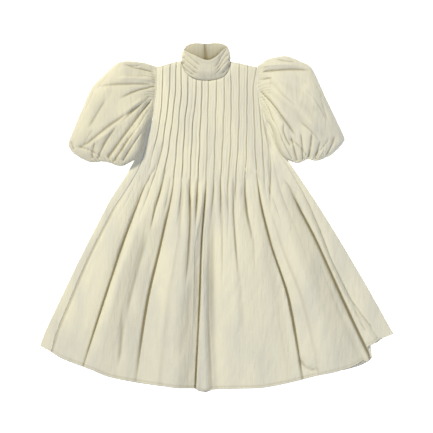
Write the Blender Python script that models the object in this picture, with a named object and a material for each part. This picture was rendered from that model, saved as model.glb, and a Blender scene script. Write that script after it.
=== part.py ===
"""Pintuck dress with a high draped collar and elbow-length puff sleeves, laid flat with its front up.

Metres. +X is the right of the picture, +Y runs from hem to collar, +Z is up. The dress lies on Z = 0,
and the origin is under the middle of its outline. Every cloth piece is a sheet laid out point by point
from the tables below, then given its wall thickness.
"""

import math
from collections import namedtuple

import bmesh
import bpy
import numpy as np
from mathutils import Vector

WALL = 0.0015
SEAM_GAP = 0.0006
FLOOR_LAYER = WALL / 2
SECOND_LAYER = WALL + 0.0003 + WALL / 2
SIDE_SEAM_Z = 0.0050
STEEP_LIMIT = 1.7
CLOTH_COLOUR = (0.76, 0.72, 0.56, 1.0)
CLOTH_ROUGHNESS = 0.62

# The edge of the front from one underarm to the other: armhole, shoulder, neckline, shoulder, armhole.
LEFT_ARMHOLE = (
    (-0.225, 0.340), (-0.219, 0.386), (-0.2120, 0.433), (-0.2082, 0.466), (-0.2088, 0.497), (-0.2125, 0.527),
)
LEFT_SHOULDER = ((-0.2125, 0.527), (-0.190, 0.532), (-0.164, 0.540), (-0.125, 0.549))
NECKLINE = (
    (-0.125, 0.549), (-0.117, 0.522), (-0.104, 0.502), (-0.076, 0.484), (-0.038, 0.4785),
    (-0.013, 0.480), (0.022, 0.491), (0.041, 0.513), (0.049, 0.546),
)
RIGHT_SHOULDER = ((0.049, 0.546), (0.081, 0.540), (0.111, 0.533), (0.141, 0.527))
RIGHT_ARMHOLE = (
    (0.141, 0.527), (0.1415, 0.497), (0.1415, 0.466), (0.1440, 0.440), (0.150, 0.405), (0.160, 0.370),
    (0.1705, 0.338),
)
BACK_NECKLINE = ((-0.125, 0.549), (-0.100, 0.544), (-0.036, 0.541), (0.025, 0.543), (0.049, 0.546))

# The outline of the skirt: y, then x.
LEFT_OUTLINE = (
    (0.338, -0.2310), (0.281, -0.244), (0.235, -0.262), (0.190, -0.290), (0.146, -0.319), (0.057, -0.376),
    (-0.006, -0.409), (-0.157, -0.486), (-0.304, -0.556), (-0.409, -0.605), (-0.451, -0.620),
)
RIGHT_OUTLINE = (
    (0.336, 0.1765), (0.270, 0.194), (0.228, 0.214), (0.200, 0.240), (0.179, 0.262), (0.095, 0.321),
    (0.011, 0.375), (-0.115, 0.452), (-0.262, 0.538), (-0.409, 0.620),
)
# How wide the strip of back panel is that shows between the outline and the side seam: y, then width.
LEFT_STRIP_WIDTH = (
    (0.340, 0.0055), (0.235, 0.0066), (0.165, 0.0085), (0.095, 0.0140), (0.043, 0.0200), (-0.080, 0.0260),
    (-0.290, 0.0350), (-0.430, 0.0440),
)
RIGHT_STRIP_WIDTH = (
    (0.340, 0.0055), (0.235, 0.0070), (0.165, 0.0100), (0.095, 0.0240), (-0.080, 0.0550), (-0.150, 0.0700),
    (-0.220, 0.0770), (-0.290, 0.0820), (-0.335, 0.0770), (-0.370, 0.0680), (-0.420, 0.0540),
)
# The hem of the front, and that of the strips of back panel that show past the side seams: x, then y.
FRONT_HEM = (
    (-0.577, -0.473), (-0.545, -0.493), (-0.493, -0.514), (-0.433, -0.535), (-0.384, -0.556), (-0.290, -0.577),
    (-0.199, -0.589), (-0.132, -0.597), (-0.078, -0.600), (-0.059, -0.608), (-0.038, -0.611), (-0.013, -0.603),
    (0.020, -0.600), (0.081, -0.599), (0.148, -0.597), (0.204, -0.589), (0.263, -0.577), (0.344, -0.556),
    (0.435, -0.535), (0.491, -0.514), (0.516, -0.494), (0.526, -0.455), (0.549, -0.444), (0.571, -0.428),
)
LEFT_STRIP_HEM = ((-0.620, -0.451), (-0.577, -0.473))
RIGHT_STRIP_HEM = ((0.571, -0.428), (0.620, -0.409))
BACK_HEM_SHORTER = 0.004

# Heights down the dress at which the fold lines are placed.
LINE_ROWS = (0.530, 0.445, 0.340, 0.235, 0.095, -0.080, -0.290, -0.570)
# Heights at which the relief of the skirt is given, under the stitched part of the tucks.
RELIEF_ROWS = (0.110, -0.080, -0.290, -0.570)
TUCK_VALLEY, TUCK_CROWN, SIDE_LEVEL = 0.0058, 0.0086, 0.0053
TUCK_END_ROW = 0.110
TUCK_CREST = 0.22

Line = namedtuple("Line", "name start at valley crown steps")
# A row for each fold line of the front, from the left side seam to the right one. start: where it leaves the
# top edge. at: its x at each of LINE_ROWS (a side seam keeps to the outline). valley and crown: the height at the line, and of the cloth between
# it and the next line, at hip, knee and hem. steps: how many columns of faces reach the next line.
LINES = (
    Line("left_side_seam", (-0.225, 0.340), None,
         (0.0050, 0.0050, 0.0050), (0.0075, 0.0075, 0.0070), 2),
    Line("left_hollow", (-0.2225, 0.352), (-0.2118, -0.2100, -0.2205, -0.250, -0.300, -0.391, -0.479, -0.577),
         (0.0046, 0.0052, 0.0060), (0.0090, 0.0090, 0.0085), 8),
    Line("left_tip", (-0.2125, 0.527), (-0.2115, -0.202, -0.213, -0.238, -0.281, -0.358, -0.437, -0.531),
         (0.0086, 0.0088, 0.0080), (0.0088, 0.0095, 0.0080), 3),
    Line("tuck_01", (-0.190, 0.532), (-0.190, -0.192, -0.201, -0.223, -0.262, -0.325, -0.395, -0.485),
         (0.0055, 0.0062, 0.0075), (0.0095, 0.0105, 0.0085), 4),
    Line("tuck_02", (-0.163, 0.540), (-0.163, -0.167, -0.179, -0.195, -0.237, -0.293, -0.349, -0.420),
         (0.0070, 0.0085, 0.0078), (0.0100, 0.0110, 0.0090), 4),
    Line("tuck_03", (-0.142, 0.545), (-0.142, -0.146, -0.157, -0.171, -0.199, -0.241, -0.300, -0.352),
         (0.0075, 0.0090, 0.0080), (0.0100, 0.0105, 0.0090), 4),
    Line("tuck_04", (-0.125, 0.549), (-0.121, -0.125, -0.134, -0.143, -0.157, -0.192, -0.241, -0.284),
         (0.0058, 0.0075, 0.0080), (0.0130, 0.0175, 0.0140), 4),
    Line("tuck_05", (-0.101, 0.500), (-0.100, -0.101, -0.112, -0.118, -0.126, -0.142, -0.178, -0.209),
         (0.0085, 0.0140, 0.0120), (0.0120, 0.0155, 0.0140), 4),
    Line("tuck_06", (-0.073, 0.483), (-0.073, -0.073, -0.084, -0.090, -0.096, -0.101, -0.115, -0.133),
         (0.0070, 0.0090, 0.0120), (0.0105, 0.0120, 0.0115), 4),
    Line("tuck_07", (-0.052, 0.480), (-0.052, -0.052, -0.058, -0.062, -0.069, -0.076, -0.083, -0.099),
         (0.0075, 0.0095, 0.0085), (0.0095, 0.0095, 0.0070), 4),
    Line("tuck_08", (-0.027, 0.479), (-0.027, -0.027, -0.030, -0.032, -0.038, -0.052, -0.060, -0.074),
         (0.0042, 0.0036, 0.0040), (0.0160, 0.0215, 0.0215), 4),
    Line("tuck_09", (0.001, 0.484), (0.001, 0.001, -0.002, -0.005, -0.010, -0.024, -0.027, -0.014),
         (0.0100, 0.0110, 0.0120), (0.0135, 0.0180, 0.0150), 4),
    Line("tuck_10", (0.029, 0.496), (0.029, 0.029, 0.026, 0.022, 0.015, 0.016, 0.018, 0.029),
         (0.0075, 0.0120, 0.0120), (0.0120, 0.0145, 0.0130), 4),
    Line("tuck_11", (0.049, 0.546), (0.053, 0.053, 0.052, 0.050, 0.040, 0.043, 0.053, 0.078),
         (0.0090, 0.0120, 0.0110), (0.0120, 0.0140, 0.0125), 4),
    Line("tuck_12", (0.081, 0.540), (0.081, 0.081, 0.080, 0.076, 0.067, 0.076, 0.092, 0.127),
         (0.0090, 0.0125, 0.0110), (0.0125, 0.0145, 0.0125), 4),
    Line("tuck_13", (0.111, 0.533), (0.111, 0.109, 0.108, 0.106, 0.100, 0.128, 0.144, 0.181),
         (0.0085, 0.0110, 0.0105), (0.0120, 0.0150, 0.0120), 4),
    Line("tuck_14", (0.141, 0.527), (0.139, 0.130, 0.134, 0.137, 0.148, 0.186, 0.253, 0.302),
         (0.0040, 0.0045, 0.0060), (0.0115, 0.0150, 0.0095), 6),
    Line("tuck_15", (0.147, 0.420), (0.141, 0.142, 0.155, 0.163, 0.172, 0.214, 0.291, 0.356),
         (0.0085, 0.0120, 0.0085), (0.0110, 0.0130, 0.0095), 3),
    Line("tuck_16", (0.160, 0.370), (0.146, 0.150, 0.1645, 0.184, 0.193, 0.253, 0.340, 0.414),
         (0.0080, 0.0110, 0.0085), (0.0120, 0.0130, 0.0100), 3),
    Line("right_slope", (0.165, 0.357), (0.150, 0.152, 0.1665, 0.191, 0.222, 0.295, 0.365, 0.470),
         (0.0075, 0.0090, 0.0085), (0.0120, 0.0150, 0.0150), 4),
    Line("right_fold", (0.1675, 0.346), (0.152, 0.154, 0.1685, 0.196, 0.258, 0.349, 0.445, 0.577),
         (0.0046, 0.0042, 0.0042), (0.0066, 0.0066, 0.0055), 2),
    Line("right_side_seam", (0.1705, 0.338), None,
         (0.0050, 0.0050, 0.0050), (0.0050, 0.0050, 0.0050), 0),
)
FIRST_TUCK, MIDDLE_TUCK, LAST_TUCK = "tuck_01", "tuck_08", "tuck_14"
# Rows of points down the front, as shares of each column's length: close together at neck, waist and hem.
FRONT_ROWS = (0, 0.012, 0.03, 0.07, 0.12, 0.18, 0.24, 0.30, 0.35, 0.395, 0.43, 0.465, 0.51, 0.56, 0.62, 0.68,
              0.74, 0.80, 0.86, 0.91, 0.96, 1.0)


def smooth(stations, values, at):
    """A curve through (stations, values) with no overshoot, straight beyond its ends. Stations may descend."""
    pairs = sorted(zip(stations, values))
    x = np.array([pair[0] for pair in pairs])
    y = np.array([pair[1] for pair in pairs])
    step = np.diff(x)
    slope = np.diff(y) / step
    tangent = np.concatenate([slope[:1], np.zeros(len(x) - 2), slope[-1:]])
    for i in range(1, len(x) - 1):
        if slope[i - 1] * slope[i] > 0:
            tangent[i] = 2 * slope[i - 1] * slope[i] / (slope[i - 1] + slope[i])
    if at <= x[0]:
        return float(y[0] + (at - x[0]) * tangent[0])
    if at >= x[-1]:
        return float(y[-1] + (at - x[-1]) * tangent[-1])
    i = int(np.searchsorted(x, at) - 1)
    t = (at - x[i]) / step[i]
    rise = y[i + 1] - y[i]
    bend_a = tangent[i] * step[i] - rise
    bend_b = rise - tangent[i + 1] * step[i]
    return float(y[i] + rise * t + t * (1 - t) * ((1 - t) * bend_a + t * bend_b))


def table(rows, at):
    """smooth() on a table of (station, value) rows."""
    return smooth([row[0] for row in rows], [row[1] for row in rows], at)


def ease(t):
    """0 to 1 with soft ends."""
    t = min(max(t, 0.0), 1.0)
    return t * t * (3 - 2 * t)


class Path:
    """A soft curve through points in plan, read by its share of length."""

    def __init__(self, *runs):
        parts = [self.rounded(run) for run in runs]
        self.points = np.concatenate([parts[0]] + [part[1:] for part in parts[1:]])
        gone = np.linalg.norm(np.diff(self.points, axis=0), axis=1)
        self.length = np.concatenate([[0], np.cumsum(gone)])
        self.share = self.length / self.length[-1]

    @staticmethod
    def rounded(run, per_span=12):
        """Catmull-Rom through the run's points."""
        p = np.array([run[0], *run, run[-1]], float)
        made = []
        for a, b, c, d in zip(p, p[1:], p[2:], p[3:]):
            for t in np.arange(per_span) / per_span:
                made.append(0.5 * (2 * b + (c - a) * t + (2 * a - 5 * b + 4 * c - d) * t**2
                                   + (3 * b - a - 3 * c + d) * t**3))
        return np.array([*made, p[-1]])

    def at(self, share):
        return np.array([np.interp(share, self.share, self.points[:, k]) for k in (0, 1)])

    def distance(self, point):
        return float(np.min(np.linalg.norm(self.points - np.array(point), axis=1)))

    def nearest(self, point):
        return float(self.share[np.argmin(np.linalg.norm(self.points - np.array(point), axis=1))])


def cloth(name, columns, rows, place, closed=False, upright=False):
    """A sheet of columns by rows points laid by place(i, j), with its wall.

    A closed sheet joins into a tube. An upright one has its edges cut square to the floor.
    """
    bm = bmesh.new()
    bmesh.ops.create_grid(bm, x_segments=columns - 1, y_segments=rows - 1, size=1)
    for v in bm.verts:
        i = round((v.co.x + 1) / 2 * (columns - 1))
        j = round((v.co.y + 1) / 2 * (rows - 1))
        v.co = Vector(place(i % (columns - 1) if closed else i, j))
    if closed:
        bmesh.ops.remove_doubles(bm, verts=bm.verts, dist=1e-6)
    bmesh.ops.recalc_face_normals(bm, faces=bm.faces)
    if upright:
        thicken_upright(bm)
    mesh = bpy.data.meshes.new(name)
    bm.to_mesh(mesh)
    bm.free()
    mesh.materials.append(cloth_material())
    mesh.shade_smooth()
    obj = bpy.data.objects.new(name, mesh)
    bpy.context.scene.collection.objects.link(obj)
    if not upright:
        wall = obj.modifiers.new("wall", "SOLIDIFY")
        wall.thickness = WALL
        wall.offset = 0
    return obj


def thicken_upright(bm):
    """Give a sheet its wall straight up and down, more of it where the sheet is steep."""
    bm.normal_update()
    lower = list(bm.verts)
    half = {tuple(v.co): WALL / 2 * min(1 / max(abs(v.normal.z), 0.1), STEEP_LIMIT) for v in lower}
    made = bmesh.ops.extrude_face_region(bm, geom=list(bm.faces), use_keep_orig=True)["geom"]
    upper = [item for item in made if isinstance(item, bmesh.types.BMVert)]
    for vert, way in [(v, 1) for v in upper] + [(v, -1) for v in lower]:
        vert.co.z += way * half[tuple(vert.co)]
    bmesh.ops.recalc_face_normals(bm, faces=bm.faces)


def cloth_material():
    """Matt cream cotton taffeta, the same for every piece."""
    found = bpy.data.materials.get("cream_taffeta")
    if found:
        return found
    material = bpy.data.materials.new("cream_taffeta")
    material.use_nodes = True
    shader = material.node_tree.nodes["Principled BSDF"]
    shader.inputs["Base Color"].default_value = CLOTH_COLOUR
    shader.inputs["Roughness"].default_value = CLOTH_ROUGHNESS
    shader.inputs["Metallic"].default_value = 0.0
    return material


FRONT_EDGE = Path(LEFT_ARMHOLE, LEFT_SHOULDER, NECKLINE, RIGHT_SHOULDER, RIGHT_ARMHOLE)
NECK_SHARES = FRONT_EDGE.nearest(NECKLINE[0]), FRONT_EDGE.nearest(NECKLINE[-1])
TIP_SHARES = FRONT_EDGE.nearest(LEFT_SHOULDER[0]), FRONT_EDGE.nearest(RIGHT_SHOULDER[-1])
NECK_FRONT_Z = 0.0062
ARMHOLE_FRONT_Z = 0.0050
UNDERARM_Y = 0.340
EDGE_LEVEL, EDGE_RISE, SEAM_RISE = 0.0015, 0.035, 0.012


def front_edge_height(share):
    """Height of the front's top edge: on the back at the shoulders, lifted at neckline and armholes."""
    if NECK_SHARES[0] < share < NECK_SHARES[1]:
        along = (share - NECK_SHARES[0]) / (NECK_SHARES[1] - NECK_SHARES[0])
        return SECOND_LAYER + (NECK_FRONT_Z - SECOND_LAYER) * math.sin(math.pi * along) ** 0.6
    if TIP_SHARES[0] <= share <= TIP_SHARES[1]:
        return SECOND_LAYER
    past = (TIP_SHARES[0] - share) / TIP_SHARES[0]
    if share > TIP_SHARES[1]:
        past = (share - TIP_SHARES[1]) / (1 - TIP_SHARES[1])
    return SECOND_LAYER + (ARMHOLE_FRONT_Z - SECOND_LAYER) * ease(past / 0.15)


def line_x(line, y):
    if line.name == "left_side_seam":
        return table(LEFT_OUTLINE, min(y, UNDERARM_Y)) + table(LEFT_STRIP_WIDTH, min(y, UNDERARM_Y))
    if line.name == "right_side_seam":
        return table(RIGHT_OUTLINE, min(y, UNDERARM_Y)) - table(RIGHT_STRIP_WIDTH, min(y, UNDERARM_Y))
    return smooth(LINE_ROWS, line.at, y)


def relief(line, y):
    """Heights of the cloth at a line and of the crown beyond it."""
    tuck = line.name.startswith("tuck")
    in_bodice = (TUCK_VALLEY, TUCK_CROWN) if tuck else (SIDE_LEVEL, SIDE_LEVEL)
    y = min(y, TUCK_END_ROW)
    return [smooth(RELIEF_ROWS, (first, *rest), y) for first, rest in zip(in_bodice, (line.valley, line.crown))]


def crest_of(name, y):
    """Where the crown stands between two lines: tucks are pressed outwards, skirt folds are even."""
    stitched = ease((y - TUCK_END_ROW + 0.04) / 0.08)
    if not FIRST_TUCK <= name < LAST_TUCK or not name.startswith("tuck"):
        return 0.5
    pressed = TUCK_CREST if name < MIDDLE_TUCK else 1 - TUCK_CREST
    return 0.5 + (pressed - 0.5) * stitched


def front_point(column, share):
    """A point of the front: column is a whole line number plus the share of the way to the next line."""
    number = min(int(column), len(LINES) - 2)
    between = column - number
    line, following = LINES[number], LINES[number + 1]
    q = FRONT_EDGE.nearest(line.start) * (1 - between) + FRONT_EDGE.nearest(following.start) * between
    start = FRONT_EDGE.at(q)
    x_start = line_x(line, start[1]) * (1 - between) + line_x(following, start[1]) * between
    hem_x = line_x(line, -0.5) * (1 - between) + line_x(following, -0.5) * between
    for _ in range(6):
        hem_y = table(FRONT_HEM, min(max(hem_x, FRONT_HEM[0][0]), FRONT_HEM[-1][0]))
        hem_x = line_x(line, hem_y) * (1 - between) + line_x(following, hem_y) * between
    y = start[1] + (hem_y - start[1]) * share
    x = line_x(line, y) * (1 - between) + line_x(following, y) * between
    x += (start[0] - x_start) * (1 - ease((start[1] - y) / 0.12))
    low, crown = relief(line, y)
    low = low * (1 - between) + relief(following, y)[0] * between
    to_seam = min(x - line_x(LINES[0], y), line_x(LINES[-1], y) - x)
    low += (SIDE_SEAM_Z - low) * (1 - ease(to_seam / SEAM_RISE))
    crest = crest_of(line.name, y)
    rise = math.sin(math.pi * between ** (math.log(0.5) / math.log(crest))) if 0 < between < 1 else 0
    height = low + (crown - low) * rise
    edge = front_edge_height(FRONT_EDGE.nearest((x, y)))
    return x, y, edge + (height - edge) * ease((FRONT_EDGE.distance((x, y)) - EDGE_LEVEL) / EDGE_RISE)


def front_columns():
    columns = []
    for number, line in enumerate(LINES):
        columns += [number + k / line.steps for k in range(line.steps)]
    return [*columns, len(LINES) - 1]


def make_front():
    columns = front_columns()
    points = [[front_point(column, row) for row in FRONT_ROWS] for column in columns]
    return cloth("front_panel", len(columns), len(FRONT_ROWS), lambda i, j: points[i][j], upright=True)


# Each back panel lies flat, turns up round the side and comes over to the side seam.
BACK_TURN = (SIDE_SEAM_Z - FLOOR_LAYER) / 2
TURN_COLUMNS, STRIP_COLUMNS = 4, 2
STRIP_LIFT = 0.0012
NECK_COLUMNS, SHOULDER_COLUMNS, ARMHOLE_COLUMNS = 3, 2, 8
CENTRE_BACK_NECK = (-0.0375, 0.541)
CENTRE_BACK_HEM_X, CENTRE_BACK_LENGTH = 0.0, 1.14


def centre_back_x(y):
    gone = (CENTRE_BACK_NECK[1] - y) / CENTRE_BACK_LENGTH
    return CENTRE_BACK_NECK[0] + (CENTRE_BACK_HEM_X - CENTRE_BACK_NECK[0]) * gone


def run_shares(path, runs):
    """Shares of a path's length: runs gives (point reached, columns to it) from the path's start."""
    shares = [0.0]
    for point, columns in runs:
        start, end = shares[-1], path.nearest(point)
        shares += [start + (end - start) * (k + 1) / columns for k in range(columns)]
    return shares


def make_back(name, outline, shoulder, armhole, strip_hem, side):
    """side is -1 for the panel at -X and 1 for the one at +X. Points run from centre back to side seam."""
    neck = [p for p in BACK_NECKLINE if (p[0] - CENTRE_BACK_NECK[0]) * side > 0.005]
    order = slice(None, None, side)
    edge = Path((CENTRE_BACK_NECK, *neck[order]), shoulder[order], armhole[order])
    shares = run_shares(edge, (
        (shoulder[order][0], NECK_COLUMNS), (armhole[order][0], SHOULDER_COLUMNS),
        (armhole[order][-1], ARMHOLE_COLUMNS)))
    last_plate = len(shares) - 1
    seam_column = 0 if side < 0 else len(LINES) - 1
    seam_hem, outer_hem = strip_hem[::side]

    def hem_at(x):
        if (x - seam_hem[0]) * side > 0:
            return table(strip_hem, x)
        return table(FRONT_HEM, x) + BACK_HEM_SHORTER * ease(abs(x - seam_hem[0]) / 0.05)

    def plate(i, share):
        part = i / last_plate
        start = edge.at(shares[i])

        def x_at(y):
            inner = centre_back_x(y) + side * SEAM_GAP / 2
            outer = table(outline, min(y, UNDERARM_Y)) - side * BACK_TURN
            return inner + (outer - inner) * part

        end_y = hem_at(x_at(outer_hem[1] - 0.08 * (1 - part)))
        y = start[1] + (end_y - start[1]) * share
        shift = start[0] - x_at(start[1]) + (side * SEAM_GAP / 2 if i == 0 else 0)
        return x_at(y) + shift * max(1 - (start[1] - y) / 0.25, 0) ** 2, y, FLOOR_LAYER

    def edge_y(share, hem_y):
        top = armhole[order][-1][1]
        return top + (hem_y - top) * share

    def turn(i, share):
        angle = math.pi * i / TURN_COLUMNS
        y = edge_y(share, outer_hem[1])
        x = table(outline, y) - side * BACK_TURN * (1 - math.sin(angle))
        return x, y, FLOOR_LAYER + BACK_TURN * (1 - math.cos(angle))

    def strip(i, share):
        part = i / STRIP_COLUMNS
        y = edge_y(share, outer_hem[1])
        outer = np.array([table(outline, y) - side * BACK_TURN, y])
        inner = np.array(front_point(seam_column, share)[:2]) + np.array([side * SEAM_GAP, 0])
        x, y = outer + (inner - outer) * part
        if 0 < part < 1:
            y += (hem_at(x) - y) * ease((share - 0.9) / 0.1)
        lift = STRIP_LIFT * math.sin(math.pi * part) * ease(share / 0.3)
        return x, y, SIDE_SEAM_Z + lift

    def place(i, j):
        share = FRONT_ROWS[j]
        if i <= last_plate:
            return plate(i, share)
        i -= last_plate
        return turn(i, share) if i <= TURN_COLUMNS else strip(i - TURN_COLUMNS, share)

    return cloth(name, last_plate + TURN_COLUMNS + STRIP_COLUMNS + 1, len(FRONT_ROWS), place)


# Each sleeve is a tube between its armhole, its outer edge, its lower edge and its underarm edge.
LEFT_SLEEVE_OUTER = (
    (-0.2130, 0.5284), (-0.259, 0.542), (-0.322, 0.546), (-0.356, 0.533), (-0.400, 0.492), (-0.437, 0.452),
    (-0.468, 0.383), (-0.487, 0.339), (-0.506, 0.292), (-0.518, 0.261), (-0.515, 0.242), (-0.500, 0.223),
    (-0.478, 0.208),
)
LEFT_SLEEVE_LOWER = (
    (-0.478, 0.208), (-0.450, 0.195), (-0.425, 0.191), (-0.400, 0.194), (-0.369, 0.188), (-0.350, 0.181),
    (-0.331, 0.178), (-0.312, 0.185), (-0.293, 0.198),
)
LEFT_SLEEVE_INNER = (
    (-0.2328, 0.3415), (-0.241, 0.333), (-0.245, 0.320), (-0.251, 0.292), (-0.256, 0.261), (-0.265, 0.229),
    (-0.279, 0.208), (-0.293, 0.198),
)
RIGHT_SLEEVE_OUTER = (
    (0.1420, 0.5284), (0.156, 0.539), (0.178, 0.553), (0.209, 0.561), (0.240, 0.564), (0.265, 0.558),
    (0.296, 0.544), (0.328, 0.527), (0.350, 0.486), (0.378, 0.423), (0.415, 0.345), (0.445, 0.280),
    (0.443, 0.262), (0.431, 0.246), (0.415, 0.230), (0.396, 0.214),
)
RIGHT_SLEEVE_LOWER = (
    (0.396, 0.214), (0.378, 0.207), (0.356, 0.198), (0.340, 0.197), (0.318, 0.202), (0.303, 0.196),
    (0.286, 0.189), (0.270, 0.190), (0.254, 0.197),
)
RIGHT_SLEEVE_INNER = (
    (0.1786, 0.3405), (0.186, 0.331), (0.191, 0.319), (0.199, 0.293), (0.211, 0.252), (0.2245, 0.222),
    (0.237, 0.2075), (0.254, 0.197),
)
# Down the sleeve: share, height of the upper side, height of the edges, share of the width that rounds off.
SLEEVE_SECTIONS = (
    (0.0, 0.0050, 0.0029, 0.014), (0.006, 0.0050, 0.0029, 0.014), (0.05, 0.0120, 0.0040, 0.05), (0.14, 0.0270, 0.0075, 0.16),
    (0.30, 0.0440, 0.0130, 0.32), (0.50, 0.0560, 0.0165, 0.40), (0.70, 0.0570, 0.0180, 0.38),
    (0.86, 0.0480, 0.0180, 0.30), (1.0, 0.0300, 0.0150, 0.16),
)
SLEEVE_ROWS = (0, 0.006, 0.03, 0.07, 0.12, 0.19, 0.29, 0.41, 0.54, 0.67, 0.79, 0.89, 0.95, 1.0)
UPPER_COLUMNS, UNDER_COLUMNS = 24, 10
SLEEVE_GAP = 0.0006
UNDER_SHORTER, UNDER_TURN = 0.045, 0.0013
HEAD_GATHER_HEIGHT, MOUTH_GATHER_HEIGHT = 0.0046, 0.0042
CUFF_HALF_WIDTH, CUFF_LOW_Z, CUFF_TOP_Z, CUFF_DEPTH, CUFF_ROUNDING = 0.050, 0.0036, 0.0150, 0.012, 0.06
CUFF_UPPER_COLUMNS, CUFF_UNDER_COLUMNS = 16, 8
# From the lower edge in to the cuff: share of the way.
TURN_IN = (0.30, 0.70, 1.0)
LEFT_CUFF_CENTRE, LEFT_CUFF_ANGLE = (-0.366, 0.2110), math.radians(-4)
RIGHT_CUFF_CENTRE, RIGHT_CUFF_ANGLE = (0.320, 0.2195), math.radians(7)


def ring(i, upper, under):
    """(share across, 1 over or -1 under) of point i round a flattened tube."""
    if i <= upper:
        return (1 - math.cos(math.pi * i / upper)) / 2, 1
    return (1 + math.cos(math.pi * (i - upper) / under)) / 2, -1


def bulge(across, rounding):
    """Share of the full height: round near the edges for a share of the width, level between."""
    gone = min(across, 1 - across) / rounding
    return math.sqrt(1 - (1 - min(max(gone, 0.0), 1.0)) ** 2)


def cuff_point(centre, tilt, across, over, out, side=1):
    """A point of the flat ring where the sleeve meets its cuff, and out along the cuff from there."""
    along = side * (1 - 2 * across) * CUFF_HALF_WIDTH
    middle = (CUFF_LOW_Z + CUFF_TOP_Z) / 2
    x = centre[0] + along * math.cos(tilt) - out * math.sin(tilt)
    y = centre[1] + along * math.sin(tilt) + out * math.cos(tilt)
    return np.array([x, y, middle + over * (CUFF_TOP_Z - middle) * bulge(across, CUFF_ROUNDING)])


def make_sleeve(name, armhole, outer, lower, inner, cuff_centre, cuff_angle, side):
    """A gathered puff: side is -1 for the one at -X and 1 for the one at +X."""
    head = Path(armhole[::side])
    outer, lower, inner = Path(outer), Path(lower), Path(inner)

    def head_point(across):
        before, after = head.at(max(across - 0.01, 0)), head.at(min(across + 0.01, 1))
        run = (after - before) / np.linalg.norm(after - before)
        beside = head.at(across) - np.array([run[1], -run[0]]) * side * SLEEVE_GAP
        straight = outer.at(0) if across < 0.5 else inner.at(0)
        return beside + (straight - beside) * (1 - ease(min(across, 1 - across) / 0.08))

    def plan(across, share):
        corners = (
            (1 - across) * (1 - share) * head_point(0) + across * (1 - share) * head_point(1)
            + (1 - across) * share * lower.at(0) + across * share * lower.at(1)
        )
        return (
            (1 - share) * head_point(across) + share * lower.at(across)
            + (1 - across) * outer.at(share) + across * inner.at(share) - corners
        )

    def section(share):
        shares = [row[0] for row in SLEEVE_SECTIONS]
        return [smooth(shares, [row[k] for row in SLEEVE_SECTIONS], share) for k in (1, 2, 3)]

    def skin(i, share):
        across, over = ring(i, UPPER_COLUMNS, UNDER_COLUMNS)
        top, edge, rounding = section(share)
        shape = bulge(across, rounding)
        if over < 0:
            x, y = plan(across, share * (1 - UNDER_SHORTER * share**3 * shape))
            return x, y, edge - (edge - FLOOR_LAYER) * shape
        x, y = plan(across, share)
        head_fade = ease(share / 0.05) * (1 - ease((share - 0.10) / 0.40))
        mouth_fade = ease((share - 0.62) / 0.3)
        gather = (head_fade * HEAD_GATHER_HEIGHT + mouth_fade * MOUTH_GATHER_HEIGHT) * (i % 2 - 0.5)
        return x, y, edge + (top - edge) * shape + gather * shape**2 * math.sin(math.pi * i / UPPER_COLUMNS)

    def place(i, j):
        if j < len(SLEEVE_ROWS):
            return skin(i, SLEEVE_ROWS[j])
        gone = TURN_IN[j - len(SLEEVE_ROWS)]
        across, over = ring(i, UPPER_COLUMNS, UNDER_COLUMNS)
        start = np.array(skin(i, 1.0))
        end = cuff_point(cuff_centre, cuff_angle, across, over, 0, side)
        if over > 0:
            point = start + (end - start) * gone
            point[2] = end[2] + (start[2] - end[2]) * (1 - gone) ** 1.5
            return point
        level = bulge(across, section(1.0)[2]) ** 2
        held = max(gone - TURN_IN[0], 0) / (1 - TURN_IN[0])
        point = start + (end - start) * (gone + (held - gone) * level)
        point[1] -= UNDER_TURN * (gone == TURN_IN[0]) * level
        point[2] = start[2] + (end[2] - start[2]) * min(gone / 0.6, 1)
        return point

    return cloth(name, UPPER_COLUMNS + UNDER_COLUMNS + 1, len(SLEEVE_ROWS) + len(TURN_IN), place, closed=True)


def make_cuff(name, centre, tilt):
    """The narrow band that the sleeve is gathered into, turned up inside it."""
    def place(i, j):
        across, over = ring(i, CUFF_UPPER_COLUMNS, CUFF_UNDER_COLUMNS)
        return cuff_point(centre, tilt, across, over, WALL / 2 + SEAM_GAP + CUFF_DEPTH * j / 2)

    return cloth(name, CUFF_UPPER_COLUMNS + CUFF_UNDER_COLUMNS + 1, 3, place, closed=True)


# The collar is one strip round the neck, from edge to edge at the centre back.
COLLAR_TOP_FRONT = (
    (-0.1160, 0.586), (-0.096, 0.574), (-0.062, 0.5585), (-0.040, 0.5495), (-0.022, 0.5500), (0.002, 0.564),
    (0.022, 0.584), (0.0385, 0.596),
)
COLLAR_TOP_BACK = (
    (-0.1160, 0.586), (-0.108, 0.600), (-0.092, 0.6090), (-0.066, 0.6115), (-0.038, 0.609), (-0.010, 0.6115),
    (0.015, 0.6100), (0.030, 0.604), (0.0385, 0.596),
)
COLLAR_SIDE_SWELL = 0.004
# From neckline to top: share, height of the front, height of the sides.
COLLAR_SECTIONS = ((0.0, 0.0062, 0.0030), (0.12, 0.0120, 0.0045), (0.45, 0.0215, 0.0085), (1.0, 0.0225, 0.0105))
COLLAR_ROWS = (0, 0.07, 0.16, 0.27, 0.38, 0.49, 0.60, 0.71, 0.82, 0.92, 1.0)
COLLAR_FRONT_COLUMNS, COLLAR_BACK_COLUMNS = 22, 6
COLLAR_ROUNDING = 0.16
COLLAR_FOLDS, COLLAR_FOLD_HEIGHT = 4, 0.0011
NECK_CENTRE = np.array([-0.038, 0.548])
COLLAR_INSET = 0.0015


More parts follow.
